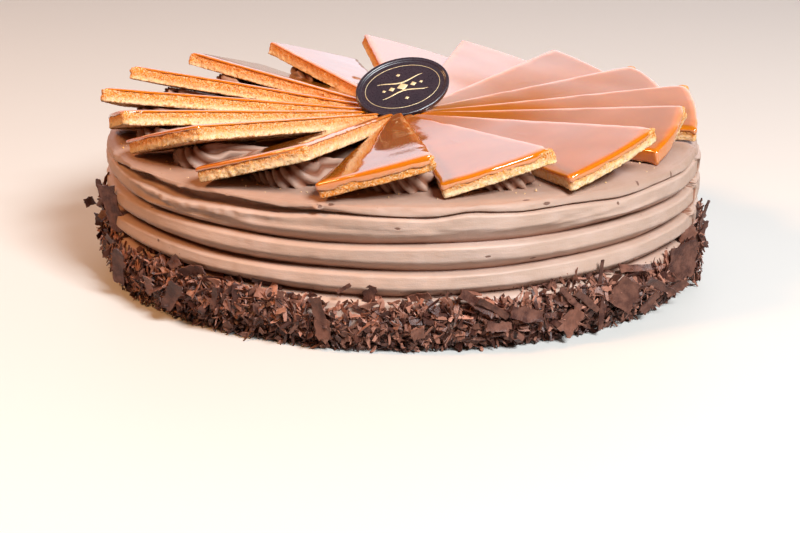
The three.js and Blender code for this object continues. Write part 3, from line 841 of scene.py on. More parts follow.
def ridge_bulge(u, angle):
    """How far a ridge stands out at the share u of its height: an even slope from the groove below that
    rounds off at the crest, a slight fall, and a short quarter ellipse in to the groove above."""
    left = left_share(angle)
    crest = RIDGE_CREST + (LEFT_CREST - RIDGE_CREST) * left
    rising = 1 - (1 - np.clip(u / crest, 0, 1)) ** (1.22 + 0.3 * left)
    falling = 1 - 0.06 * smoothstep(crest, RIDGE_SHOULDER, u)
    turning = np.clip((u - RIDGE_SHOULDER) / (1 - RIDGE_SHOULDER), 0, 1)
    return rising * falling * np.sqrt(1 - turning**2)


def trough_share(angle):
    """1 where the top groove is a broad trough, at the left of the front and in two places behind."""
    front = smoothstep(-160, -144, angle) * smoothstep(-93, -122, angle)
    behind = 0.7 * np.exp(-(past(angle, 60) / 22) ** 4) + 0.6 * np.exp(-(past(angle, 140) / 16) ** 4)
    return np.clip(front + behind, 0, 1)


def groove_height(angle, index, cream, shift):
    """Height of one groove's line: its place under the top groove, wavering a little, plus a shift."""
    theta = np.radians(angle)
    waver = 0.28 * np.sin(4 * theta + 1.1 + index) + 0.22 * np.sin(9 * theta + 2.3 * index)
    if index == 0:
        waver = waver + 0.5 * np.exp(-(past(angle, -79) / 3) ** 2)
        waver = waver - 0.6 * np.exp(-(past(angle, -85) / 4) ** 2)
        waver = waver + 0.35 * np.sin(17 * theta) * smoothstep(-178, -150, angle)
        waver = waver - 1.6 * trough_share(angle)
        return cream.top_groove + waver * MM
    sag = (1.7 if index < 3 else 1.0) * np.exp(-(past(angle, -98) / 33) ** 2)
    return cream.top_groove - index * cream.pitch + (waver - sag) * MM + shift


def past_seam(angle, z):
    """How far an angle is past the seam, where the comb's run ends, at this height."""
    return past(angle, np.interp(z / MM, SEAM_HEIGHTS, SEAM_ANGLES))


def combed(angle, z, cream, shift, depth_share):
    """Radius of the combed side at angles and heights, for one run of the comb."""
    depth = cream.groove_depth * depth_share
    radius = np.broadcast_to(cream.radius - depth, np.broadcast(angle, z).shape)
    for index in range(RIDGE_COUNT):
        top = groove_height(angle, index, cream, shift)
        lowest = index == RIDGE_COUNT - 1
        bottom = FOOT_CHAMFER if lowest else groove_height(angle, index + 1, cream, shift)
        u = (z - bottom) / (top - bottom)
        bulge = ridge_bulge(np.clip(u, 0, 1), angle)
        deep = depth * (1 + LEFT_DEEPER * left_share(angle) * (index > 0))
        radius = np.where((u > 0) & (u < 1), cream.radius - deep * (1 - bulge), radius)
    return radius


def side_radius(angle, z, cream):
    """Radius of the side: the comb's own run ends in round lobes at the seam, each outlined by fine creases
    that the shader also darkens as painted shade; beyond them lies a nearly level run that fades back to
    the first over the seam's width."""
    beyond = past_seam(angle, z)
    near = (beyond > -SEAM_UNDERLAP) & (beyond < 3)
    fade = (beyond > -SEAM_UNDERLAP) * (1 - np.clip(beyond / SEAM_WIDTH, 0, 1))
    first = combed(angle, z, cream, 0, 1)
    level = combed(angle, z, cream, SEAM_SHIFT * fade, 1 - 0.75 * fade) + SEAM_SWELL * fade
    u = np.clip((cream.top_groove - z) / cream.pitch, 0, RIDGE_COUNT) % 1
    distance = -np.radians(beyond) * cream.radius
    distance = distance - LOBE_LENGTH * (1 - np.sqrt(np.clip(1 - (2 * u - 1) ** 2, 0, 1)))
    lobe = smoothstep(-LOBE_ROUNDING / 2, LOBE_ROUNDING / 2, distance)
    crease_shade = near * np.exp(-((distance / (0.5 * MM)) ** 2)) * (z < cream.top_groove)
    ended = level + (first - level) * lobe - 0.6 * MM * crease_shade
    radius = np.where(near, ended, np.where(beyond > 0, level, first))
    return radius, crease_shade


def smeared(angle, z):
    """Depth of the strokes: along each one a rounded band that tapers at both ends and wavers a little."""
    total = np.zeros(np.broadcast(angle, z).shape)
    for smear in SMEARS:
        start, end = smear["angles"]
        t = past(angle, start) / (end - start)
        centre = smear["heights"][0] + (smear["heights"][1] - smear["heights"][0]) * t
        centre = centre + 0.35 * np.sin(9 * t + start)
        across = (z / MM - centre) / smear["width"]
        along = smoothstep(0, 0.2, t) * smoothstep(1, 0.75, t)
        edge = np.where(across > 0, 1 - smoothstep(0.3, 1.0, across), 1 - smoothstep(0.5, 2.6, -across))
        total = total + smear["depth"] * MM * along * edge
    return total


def all_pits(cream):
    """The listed pits and seeded ones at any angle, most of them near a groove's line."""
    random = np.random.default_rng(PIT_SEED)
    pits = list(PITS)
    for _ in range(RANDOM_PITS):
        groove = random.integers(0, RIDGE_COUNT)
        low = cream.top_groove / MM - groove * cream.pitch / MM
        z = low + random.choice([random.uniform(-1.2, 1.6), random.uniform(-9, 3.5)], p=[0.6, 0.4])
        size = random.uniform(0.9, 1.3)
        angle = random.uniform(-180, 180)
        long = size * random.uniform(0.9, 1.8)
        pits.append(dict(angle=angle, z=min(z, 58), length=long, height=size * random.uniform(0.6, 1.0)))
    return pits


def pitted(angle, radius, z, cream):
    """For each point its offset from the nearest pit, along and up the surface in the pit's own half
    sizes, and a mask of the points near one, so that the shader can paint small pits sharply as dark shade."""
    shape = np.broadcast(angle, z).shape
    climb = np.cumsum(np.hypot(np.diff(radius, axis=0), np.diff(z, axis=0)), axis=0) / MM
    climb = np.pad(climb, ((1, 0), (0, 0)))
    along, upward, nearest, second = (np.full(shape, FAR) for _ in range(4))
    for pit in all_pits(cream):
        across = np.radians(past(angle, pit["angle"])) * cream.radius / MM + 0 * z
        column = np.abs(past(angle[0], pit["angle"])).argmin()
        row = np.abs(z[:, column] / MM - pit["z"]).argmin()
        rise = climb - climb[row]
        distance = np.hypot(across, rise)
        closer = distance < nearest
        second = np.minimum(second, np.where(closer, nearest, distance))
        nearest = np.where(closer, distance, nearest)
        along = np.where(closer, across / pit["length"], along)
        upward = np.where(closer, rise / pit["height"], upward)
    return along, upward, ((nearest < PIT_REACH) & (second - nearest > PIT_APART)) * 1.0


def shaving_top(angle):
    """How high the shavings reach, in millimetres: a ragged edge, and places where they climb."""
    theta = np.radians(angle)
    top = SHAVING_BAND + 1.8 * np.sin(5 * theta + 0.4) + 1.3 * np.sin(13 * theta + 2)
    for climb in CLIMBS:
        top = top + climb["height"] * np.exp(-((past(angle, climb["angle"]) / climb["spread"]) ** 2))
    return top


def row_heights(cream, angle):
    """Heights of the rows up the side, which follow the grooves' lines at every angle."""
    rows = []
    for index in range(RIDGE_COUNT - 1, -1, -1):
        middle = cream.top_groove - (index + 0.5) * cream.pitch
        beyond = past_seam(angle, middle)
        shift = SEAM_SHIFT * smoothstep(-2.5, 0.5, beyond) * (1 - np.clip(beyond / SEAM_WIDTH, 0, 1))
        top = groove_height(angle, index, cream, shift)
        if index == RIDGE_COUNT - 1:
            bottom = np.full_like(angle, FOOT_CHAMFER)
            steps = np.linspace(0, 0.62, 9)[:-1].tolist() + np.linspace(0.62, 0.985, 13).tolist()
        else:
            bottom = groove_height(angle, index + 1, cream, shift)
            steps = RIDGE_ROWS
        rows += [bottom + (top - bottom) * step for step in steps]
    return np.array(rows)


def rim_and_top(angle, groove, wide, cream):
    """Radii and heights of the rows past the side. From the top groove out to the brow goes a quarter
    ellipse, or in the broad trough the fourth power of the step. Over the rim the radius is
    inner + (brow - inner) * cos^0.7 and the height goes with sin^0.85, and last comes the level top."""
    base = cream.radius - cream.groove_depth - 2.2 * MM * wide
    flat = around(angle, cream.radius, 0.0)
    brow = cream.radius - 0.8 * MM + (0.45 + 0.3 * wide) * MM * smooth_noise(flat, 16 * MM, 5)
    lip = (0.9 + 3.6 * wide + (0.35 + 0.3 * wide) * smooth_noise(flat, 9 * MM, 6)) * MM
    inner = cream.radius - RIM_INSET
    radii, heights = [], []
    for step in np.linspace(0, 1, 11):
        bend = step * math.pi / 2
        outward = math.sin(bend) * (1 - wide) + step**4 * wide
        radii.append(base + (brow - base) * outward)
        heights.append(groove + lip * ((1 - math.cos(bend)) * (1 - wide) + step**0.8 * wide))
    for step in np.linspace(0, 1, 15)[1:]:
        bend = step * math.pi / 2
        radii.append(inner + (brow - inner) * max(math.cos(bend), 0) ** 0.7)
        heights.append(groove + lip + (cream.height - groove - lip) * math.sin(bend) ** 0.85)
    for reach in TOP_ROWS:
        radii.append(np.full_like(angle, reach * MM))
        heights.append(np.full_like(angle, cream.height))
    return np.array(radii), np.array(heights)


def side_relief(points, angle, z, groove, wide, cream):
    """How far the side stands off its plain form, in millimetres: two slow waves round the cake, torn noise
    by the top groove, the lumps, and noise that is drawn out round the cake."""
    theta = np.radians(angle)[None, :]
    relief = 0.35 * np.sin(3 * theta + 0.7) + 0.2 * np.sin(7 * theta + z / (9 * MM))
    torn = np.exp(-(((z - groove[None, :]) / (3.2 * MM)) ** 2)) * (0.25 + 0.75 * wide[None, :])
    relief = relief + 0.6 * torn * layered_noise(points, 2.8 * MM, 2, 37)
    for lump in LUMPS:
        off = np.radians(past(angle[None, :], lump["angle"])) * cream.radius / MM / lump["spread"]
        near = np.exp(-(off**2) - ((z / MM - lump["z"]) / (0.7 * lump["spread"])) ** 2)
        relief = relief + lump["height"] * near * (0.5 + smooth_noise(points, 1.7 * MM, 39))
    relief = relief + 0.42 * layered_noise(points * [0.28, 0.28, 1], 7 * MM, 2, 11)
    return relief + 0.22 * layered_noise(points, 5 * MM, 2, 23)


def cream_body(cream):
    """The cream as one closed skin over angle and row: up the combed side, round the rim and in over the
    top. Relief and strokes then move the points of the side, and knife marks those of the top."""
    # The columns stand closest together round the seam, whose lobes need them.
    spread = np.linspace(0, 1, cream.columns, endpoint=False)
    angle = np.interp(spread, [0, 0.379, 0.530, 1], [-180, -30, -6, 180])
    side = row_heights(cream, angle)
    radius, crease_shade = side_radius(angle[None, :], side, cream)
    # Painted shade: how deep each point lies in its groove, kept with the seam's creases for the shader to
    # darken.
    crease_shade = np.maximum(crease_shade, GROOVE_SHADE_SHARE * np.clip((cream.radius - radius) / cream.groove_depth, 0, 1))
    groove = groove_height(angle, 0, cream, 0)
    wide = trough_share(angle)
    radii, heights = rim_and_top(angle, groove, wide, cream)
    radius, z = np.concatenate([radius, radii]), np.concatenate([side, heights])
    on_side = smoothstep(2, 5, z / MM) * smoothstep(100, 121, radius / MM)
    points = around(angle[None, :], radius, z)
    relief = side_relief(points, angle, z, groove, wide, cream)
    smear = smeared(angle[None, :], z) * (z < groove[None, :] - 1 * MM)
    along, upward, near_pit = pitted(angle[None, :], radius, z, cream)
    near_pit = near_pit * (on_side > 0.5)
    radius = radius + (relief * MM * on_side) + smear
    top = 1 - smoothstep(2, 9, (cream.radius - radius) / MM)
    inside = smoothstep(60, 100, radius / MM) * (z > cream.height - 0.05 * MM)
    swept = layered_noise(points * [1, 1, 0] + [0, 0, 0.05], 11 * MM, 3, 31)
    z = z + np.where(z > cream.top_groove + 1 * MM, 0.22 * swept * MM * (0.4 + inside), 0)
    z = z - np.where(z > cream.top_groove + 4 * MM, 0.35 * MM * top, 0)
    rows = around(angle[None, :], radius, z)
    foot = around(angle, cream.radius - cream.groove_depth - FOOT_CHAMFER, 0.0)
    under = around(angle, 100 * MM, 0.0)
    rows = np.concatenate([under[None], foot[None], rows])
    bed = smoothstep(shaving_top(angle)[None, :] - 3, shaving_top(angle)[None, :] - 9, z / MM)
    pad = np.zeros((2, cream.columns))
    masks = {
        "pit_along": np.concatenate([pad, along]),
        "pit_up": np.concatenate([pad, upward]),
        "pit_near": np.concatenate([pad, near_pit]),
        "bed": np.concatenate([pad + 1, bed * (z < 50 * MM)]),
        "crease_shade": np.concatenate([pad, np.pad(crease_shade, ((0, len(z) - len(crease_shade)), (0, 0)))]),
    }
    return rows, masks


class TORTE_OT_cream(bpy.types.Operator):
    """Builds the cream-covered cake: a closed skin over angle and height, combed into ridges"""

    bl_idname = "torte.cream"
    bl_label = "Combed buttercream"

    def execute(self, context):
        cream = context.scene.torte_cream
        rows, masks = cream_body(cream)
        piece = add_closed("cream_body", rows, (0, 0, 0), (0, 0, cream.height), masks)
        finish_piece(piece, cream_material(cream), "cream", "cake")
        return {"FINISHED"}


# ------------------------------------------------------------------------------------ shavings

def strip_template(segments):
    """A strip of four-cornered rings along s from -0.5 to 0.5: (s, across, up) per point, and its quads."""
    s = np.repeat(np.linspace(-0.5, 0.5, segments + 1), 4)
    across = np.tile([-0.5, 0.5, 0.5, -0.5], segments + 1)
    up = np.tile([-0.5, -0.5, 0.5, 0.5], segments + 1)
    ends = [[0, 3, 2, 1], [segments * 4 + k for k in range(4)]]
    return np.stack([s, across, up], -1), np.concatenate([grid_faces(segments + 1, 4)[:, ::-1], ends])


def plate_template(long_steps, wide_steps):
    """A plate of a grid above and one below, joined round the edge: (s, across, up) per point, quads."""
    spans = [np.linspace(-0.5, 0.5, steps + 1) for steps in (long_steps, wide_steps)]
    s, t = np.meshgrid(*spans, indexing="ij")
    layer = np.stack([s.ravel(), t.ravel()], -1)
    size = len(layer)
    points = np.concatenate([np.c_[layer, np.full(size, 0.5)], np.c_[layer, np.full(size, -0.5)]])
    i, j = np.meshgrid(np.arange(long_steps), np.arange(wide_steps), indexing="ij")
    a = (i * (wide_steps + 1) + j).ravel()
    above = np.stack([a, a + wide_steps + 1, a + wide_steps + 2, a + 1], -1)
    below = above[:, ::-1] + size
    ring = list(range(wide_steps + 1))
    ring += [i * (wide_steps + 1) + wide_steps for i in range(1, long_steps + 1)]
    ring += [long_steps * (wide_steps + 1) + j for j in range(wide_steps - 1, -1, -1)]
    ring += [i * (wide_steps + 1) for i in range(long_steps - 1, 0, -1)]
    ring = np.array(ring)
    ahead = np.roll(ring, -1)
    sides = np.stack([ring, ahead, ahead + size, ring + size], -1)
    return points, np.concatenate([above, below, sides])


def bent(points, sizes, shape):
    """Each template point on its own shaving: s runs along an arc of the curl angle, across is narrowed by
    the taper and the points at the ends, and the whole is twisted about its length."""
    s, across, up = (points[None, :, k] for k in range(3))
    long, width, thick = (sizes[key][:, None] for key in ("length", "width", "thickness"))
    curl = np.radians(shape["curl"])[:, None]
    ends = 1 - shape["point"][:, None] * (2 * np.abs(s)) ** 2.5
    y = across * width * (1 - shape["taper"][:, None] * s) * ends
    sweep = curl * s
    radius = long / np.where(np.abs(curl) < 0.01, 0.01, curl)
    radius = radius * (1 + shape["spiral"][:, None] * np.abs(s))
    offset = up * thick * (0.35 + 0.65 * ends)
    cup = shape["cup"][:, None] * (y**2) / np.maximum(width, 1e-6)
    x = (radius - offset) * np.sin(sweep) + shape["skew"][:, None] * y
    z = radius - (radius - offset) * np.cos(sweep) + cup
    twist = np.radians(shape["twist"])[:, None] * s
    y, z = y * np.cos(twist) - z * np.sin(twist), y * np.sin(twist) + z * np.cos(twist)
    return np.stack([x, y, z], -1)


def stuck_on(points, angle, z, out, plane_turn, lean, roll, swing, cream):
    """Turns each shaving to lie on the side: rolled about its length, leaned out, turned in the wall's
    plane, swung about the upright, then carried to its angle and height at a distance off the wall."""
    def spin(p, degrees, a, b):
        c, s = np.cos(np.radians(degrees))[:, None], np.sin(np.radians(degrees))[:, None]
        q = p.copy()
        q[..., a] = c * p[..., a] - s * p[..., b]
        q[..., b] = s * p[..., a] + c * p[..., b]
        return q

    p = spin(points, roll, 1, 2)
    p = spin(p, -lean, 2, 0)
    p = spin(p, plane_turn, 0, 1)
    p = spin(p, -swing, 2, 0)
    wall, _ = side_radius(angle, z, cream)
    theta = np.radians(angle)[:, None]
    outward = (wall + out)[:, None] + p[..., 2]
    along = p[..., 0]
    x = outward * np.cos(theta) - along * np.sin(theta)
    y = outward * np.sin(theta) + along * np.cos(theta)
    height = z[:, None] + p[..., 1]
    lowest = height.min(axis=1, keepdims=True)
    height = height + np.maximum(0, 0.15 * MM - lowest)
    return np.stack([x, y, height], -1)


def add_shavings(name, placed, quads, tone):
    """One piece with sharp edges out of many shavings, each with its own tone kept on its points."""
    number, size = placed.shape[:2]
    faces = repeated(quads, number, size)
    piece = add_mesh(name, placed.reshape(-1, 3), faces, None, {"tone": np.repeat(tone, size)})
    piece.data.set_sharp_from_angle(angle=math.radians(SHARP_ANGLE))
    return piece


def shavings(name, template, number, seed, cream, settings, ranges):
    """One kind of shaving: places spread round by the golden ratio, heights thinning out towards the
    ragged top of the band, and every size and turn drawn between two limits."""
    random = np.random.default_rng(seed)
    points, quads = template

    def draw(key):
        low, high = ranges[key]
        return random.uniform(low, high, number)

    angle = (np.arange(number) * GOLDEN_RATIO + random.uniform(0, 1)) % 1 * 360 - 180
    angle = angle + random.normal(0, 0.4, number)
    rise = random.uniform(0, 1, number) ** ranges["crowding"]
    reach = shaving_top(angle) * ranges["reach"] + random.normal(0, 1.1, number)
    z = np.maximum(0.4, reach * rise) * MM
    size = draw("size") * (0.72 + 0.5 * rise)
    sizes = {
        "length": draw("length") * size * MM,
        "width": draw("width") * size * MM,
        "thickness": settings.thickness * random.uniform(0.6, 1.3, number),
    }
    shape = {key: draw(key) for key in ("curl", "taper", "point", "twist", "skew", "cup", "spiral")}
    flipped = np.where(random.uniform(0, 1, number) < 0.5, -1, 1)
    shape["curl"] = shape["curl"] * flipped
    bodies = bent(points, sizes, shape)
    ragged = random.normal(0, 1, (number, len(points), 2)) * ranges["ragged"]
    bodies[..., :2] += ragged * sizes["width"][:, None, None]
    heap = draw("out") * (1.25 - rise) * MM
    placed = stuck_on(
        bodies, angle, z, heap, draw("turn"), draw("lean"), draw("roll"), np.zeros(number), cream
    )
    tone = np.clip(random.normal(ranges["tone"], 0.4, number) - 0.18 * (1 - rise), 0, 1)
    return add_shavings(name, placed, quads, tone)


SLIVERS = dict(
    length=(3.0, 7.5), width=(0.7, 1.7), size=(0.7, 1.3), curl=(0, 50), taper=(-0.5, 0.5), point=(0.1, 0.8),
    twist=(-35, 35), skew=(-0.5, 0.5), cup=(-0.2, 0.2), spiral=(0, 0), out=(0.2, 4.2), turn=(-180, 180),
    lean=(-45, 45), roll=(-70, 70), crowding=0.9, reach=1.06, ragged=0.04, tone=0.33,
)
CHIPS = dict(
    length=(2.0, 4.8), width=(1.2, 3.0), size=(0.6, 1.25), curl=(0, 16), taper=(-0.8, 0.8), point=(0, 0.1),
    twist=(-14, 14), skew=(-0.6, 0.6), cup=(-0.1, 0.1), spiral=(0, 0), out=(0.2, 4.2), turn=(-180, 180),
    lean=(-45, 45), roll=(-60, 60), crowding=0.95, reach=0.98, ragged=0.09, tone=0.36,
)
FLAKES = dict(
    length=(4, 9), width=(1.6, 4.4), size=(0.7, 1.2), curl=(0, 24), taper=(-0.8, 0.8), point=(0, 0.15),
    twist=(-8, 8), skew=(-0.7, 0.7), cup=(-0.06, 0.06), spiral=(0, 0), out=(0.8, 4.2), turn=(-180, 180),
    lean=(-10, 40), roll=(-50, 50), crowding=0.62, reach=1.0, ragged=0.05, tone=0.16,
)
CURLS = dict(
    length=(8, 15), width=(2.0, 4.6), size=(0.6, 1.1), curl=(160, 400), taper=(-0.3, 0.3), point=(0, 0.2),
    twist=(-20, 20), skew=(-0.2, 0.2), cup=(0, 0), spiral=(0.1, 0.5), out=(0.8, 3.6), turn=(-180, 180),
    lean=(-20, 20), roll=(-50, 50), crowding=0.7, reach=1.0, ragged=0.02, tone=0.35,
)


def flakes_by_hand(cream, settings):
    """The biggest shavings, each a ragged plate at its own place; those at the sides are swung to the
    front by half their angle from it."""
    points, quads = plate_template(8, 5)
    number = len(FLAKES_BY_HAND)
    random = np.random.default_rng(HAND_SEED)

    def column(key):
        return np.array([float(row[key]) for row in FLAKES_BY_HAND])

    sizes = {
        "length": column("length") * MM,
        "width": column("width") * MM,
        "thickness": np.full(number, 1.4 * settings.thickness),
    }
    shape = {
        "curl": column("curl"), "taper": random.uniform(-0.35, 0.45, number),
        "point": random.uniform(0.0, 0.25, number), "twist": random.uniform(-14, 14, number),
        "skew": random.uniform(-0.25, 0.25, number), "cup": random.uniform(-0.12, 0.25, number),
        "spiral": np.zeros(number),
    }
    bodies = bent(points, sizes, shape)
    half = len(points) // 2
    ragged = random.normal(0, 0.07, (number, half, 2))
    ragged = np.concatenate([ragged, ragged], axis=1)
    rim = (np.abs(points[:, :2]).max(axis=1) > 0.49)[None, :, None]
    bodies[..., :2] += ragged * rim * np.minimum(sizes["width"], 6 * MM)[:, None, None]
    bodies[..., 2] += 0.12 * MM * np.sin(points[:, 0] * 23 + points[:, 1] * 9)[None, :]
    swing = 0.5 * np.clip(past(column("angle"), -90), -80, 80)
    theta = np.radians(column("turn"))
    wide = np.abs(np.cos(theta)) * column("length") + np.abs(np.sin(theta)) * column("width")
    out = column("out") + 1.3 + 0.3 * wide * np.abs(np.sin(np.radians(swing)))
    placed = stuck_on(
        bodies, column("angle"), column("z") * MM, out * MM, column("turn"), column("lean"),
        column("roll"), swing, cream,
    )
    return add_shavings("large_flakes", placed, quads, HAND_TONE * column("tone"))


class TORTE_OT_shavings(bpy.types.Operator):
    """Builds the chocolate shavings, one piece a kind: bent strips and ragged plates on the side"""

    bl_idname = "torte.shavings"
    bl_label = "Chocolate shavings"

    def execute(self, context):
        cream = context.scene.torte_cream
        settings = context.scene.torte_shavings
        material = shaving_material(settings)
        kinds = [
            ("slivers", strip_template(3), settings.slivers, 11, SLIVERS),
            ("chips", plate_template(2, 2), settings.chips, 12, CHIPS),
            ("flakes", plate_template(5, 3), settings.flakes, 13, FLAKES),
            ("curls", strip_template(12), settings.curls, 14, CURLS),
        ]
        for kind, template, number, seed, ranges in kinds:
            piece = shavings(f"shaving_{kind}", template, number, seed, cream, settings, ranges)
            finish_piece(piece, material, "chocolate")
        finish_piece(flakes_by_hand(cream, settings), material, "chocolate")
        return {"FINISHED"}


# ------------------------------------------------------------------------------------ wedges

def wedge_outline(wedge, inset, rounding, columns, kerf):
    """A wedge lying flat with its low edge along +X: its four sides sampled closely, corners rounded by
    averaging neighbours, then spaced evenly. Gives the points and the outward normals."""
    cut = math.radians(wedge["cut"])
    reach = wedge["reach"] * MM - inset
    low = kerf + inset
    tip = max(wedge["tip"] * MM + inset, 2.4 * inset / cut)
    start, end = math.asin(low / reach), cut - inset / reach
    arc = np.linspace(start, end, 200)
    raised = cut - inset / tip
    raised_tip = [tip * math.cos(raised), tip * math.sin(raised)]
    corners = [
        np.linspace([tip, low], [reach * math.cos(start), low], 480)[:-1],
        np.stack([reach * np.cos(arc), reach * np.sin(arc)], -1)[:-1],
        np.linspace([reach * math.cos(end), reach * math.sin(end)], raised_tip, 480)[:-1],
        np.linspace(raised_tip, [tip, low], 16)[:-1],
    ]
    path = np.concatenate(corners)
    side_taps = max(1, round(rounding / (0.25 * MM)))
    taps = range(-side_taps, side_taps + 1)
    path = sum(np.roll(path, tap, axis=0) for tap in taps) / len(taps)
    steps = np.linalg.norm(np.roll(path, -1, axis=0) - path, axis=1)
    travelled = np.concatenate([[0], np.cumsum(steps)])
    closed = np.vstack([path, path[:1]])
    wanted = np.linspace(0, travelled[-1], columns, endpoint=False)
    even = np.stack([np.interp(wanted, travelled, closed[:, k]) for k in (0, 1)], -1)
    tangent = np.roll(even, -1, axis=0) - np.roll(even, 1, axis=0)
    tangent = tangent / np.linalg.norm(tangent, axis=1, keepdims=True)
    return even, np.stack([tangent[:, 1], -tangent[:, 0]], -1)


def wedge_turn(wedge, index):
    """The angle at which a wedge's low edge leaves the middle."""
    return FIRST_WEDGE_ANGLE + 360 / WEDGE_COUNT * index + wedge["turn"]


def wedge_placed(points, wedge, index, cream):
    """Lifts a flat wedge's tip, tilts it about its low edge and turns it to its place on the cake."""
    lift = wedge["lift"] * MM
    slope = math.degrees(math.atan(wedge["lift"] / wedge["reach"]))
    points = turned(points, wedge["tilt"], 0)
    points = turned(points, slope, 1)
    points = turned(points, wedge_turn(wedge, index), 2)
    return points + [0, 0, cream.height + GAP + lift]


def slab_rows(outline, normal, levels):
    """Rings of a flat slab: each level is (share towards the middle, offset outwards, height)."""
    middle = outline.mean(axis=0)
    rings = []
    for shrink, offset, height in levels:
        flat = middle + (outline - middle) * (1 - shrink) + normal * np.reshape(offset, (-1, 1))
        upward = np.broadcast_to(np.reshape(height, (-1, 1)), (len(flat), 1))
        rings.append(np.concatenate([flat, upward], axis=1))
    return np.array(rings), middle


def edge_shares(outline, wedge):
    """How much each outline point belongs to the outer arc, to the raised edge and to its outer corner."""
    r = np.hypot(outline[:, 0], outline[:, 1])
    off_raised = r * np.sin(math.radians(wedge["cut"]) - np.arctan2(outline[:, 1], outline[:, 0]))
    reach = wedge["reach"] * MM
    arc = smoothstep(reach - 3 * MM, reach - 1 * MM, r)
    raised = smoothstep(2.2 * MM, 0.9 * MM, off_raised)
    corner = np.exp(-((r - reach) ** 2 + off_raised**2) / (4 * MM) ** 2)
    return arc, raised, corner


def sponge_piece(wedge, index, cream, settings):
    """A slab of sponge: rings from the middle of its skin out, up the cut face and in again on top. The
    cut face wavers with the knife and is opened by crumbs and pores, most of all at the outer corner."""
    outline, normal = wedge_outline(
        wedge, SPONGE_INSET, SPONGE_ROUNDING, SPONGE_COLUMNS, settings.kerf
    )
    arc, raised, corner = edge_shares(outline, wedge)
    thick = settings.sponge_thickness + settings.soak
    levels = [(s, 0, 0) for s in (0.9, 0.5, 0.15, 0.03)]
    levels += [(0, -0.4 * MM, 0.02 * MM), (0, -0.12 * MM, 0.2 * MM)]
    skin_rings = len(levels)
    levels += [(0, 0, z * MM) for z in np.linspace(0.55, thick / MM - 0.5, 11)]
    levels += [(0, -0.15 * MM, thick - 0.12 * MM), (0, -0.5 * MM, thick)]
    levels += [(s, 0, thick) for s in (0.03, 0.15, 0.5)]
    rings, middle = slab_rows(outline, normal, levels)
    face = np.array([1.0 if s == 0 else 0.0 for s, _, _ in levels])[:, None]
    sample = rings + [index * 0.31, 0, 0]
    crumb = 0.42 * layered_noise(sample, 1.9 * MM, 2, 41)
    crumb = crumb + 0.34 * smooth_noise(sample * [1, 1, 0.3], 14 * MM, 43)
    pore = np.clip(0.55 - nearest_cell(sample, 1.9 * MM, 47), 0, 1) * 1.7
    cave = np.clip(0.38 - nearest_cell(sample * [1, 1, 2.2], 6 * MM, 53), 0, 1) * 3.4
    rough = 1 + 0.3 * arc + 1.8 * corner
    push = (crumb * 1.4 * rough - pore - cave) * settings.crumb_depth
    push = push + (0.35 * arc + wedge["spur"] * corner) * MM
    rings[..., :2] += (push * face)[..., None] * normal[None]
    low = (np.arange(len(levels)) < skin_rings)[:, None]
    rings[..., 2] += low * np.abs(layered_noise(sample * [1, 1, 0], 4 * MM, 2, 59)) * 0.22 * MM
    rise = np.clip(rings[..., 2] / thick, 0, 1)
    soaked = 0.2 * arc + 0.22 * raised + wedge["golden"]
    masks = {"rise": rise, "soaked": np.broadcast_to(soaked[None], rise.shape)}
    placed = wedge_placed(rings, wedge, index, cream)
    ends = wedge_placed(np.array([[*middle, 0], [*middle, thick]]), wedge, index, cream)
    return add_closed(f"wedge_sponge_{index + 1:02d}", placed, ends[0], ends[1], masks)


def caramel_edge(outline, wedge, index, base, shoulder):
    """At each point of the outline how far the caramel hangs down over the sponge, how far it stands out
    and how wide its shoulder is. It hangs lowest on the outer arc and hardly at all on the raised edge; at
    the outer corner it stops short of the sponge."""
    arc, raised, corner = edge_shares(outline, wedge)
    cut = math.radians(wedge["cut"])
    from_axis = np.hypot(outline[:, 0], outline[:, 1])
    flat = np.concatenate([outline + [index * 0.4, 0], np.zeros((len(outline), 1))], axis=1)
    ragged = layered_noise(flat, 6 * MM, 3, 61)
    hang = 0.45 + wedge["skirt"] * arc - 0.34 * raised * (1 - arc)
    low_end = smoothstep(0.75, 0.15, np.arctan2(outline[:, 1], outline[:, 0]) / cut)
    low_side = smoothstep(42 * MM, 12 * MM, wedge["reach"] * MM - from_axis) * (outline[:, 1] < 1.3 * MM)
    fall = wedge["fall"] * np.maximum(arc * low_end, low_side)
    hang = np.clip(hang + ragged * (0.18 + 0.4 * arc * wedge["skirt"]), 0.06, 3)
    drip = np.minimum(hang + fall, base / MM - 0.15) * MM
    out = 0.30 + 0.25 * arc + 0.15 * smooth_noise(flat, 4.5 * MM, 67) - wedge["spur"] * corner
    out = (out + 0.5 * np.minimum(fall, 1)) * MM
    width = shoulder * (1 + 0.3 * smooth_noise(flat, 9 * MM, 69))
    return drip, out, np.minimum(width, 0.55 * (from_axis * math.sin(cut / 2)))


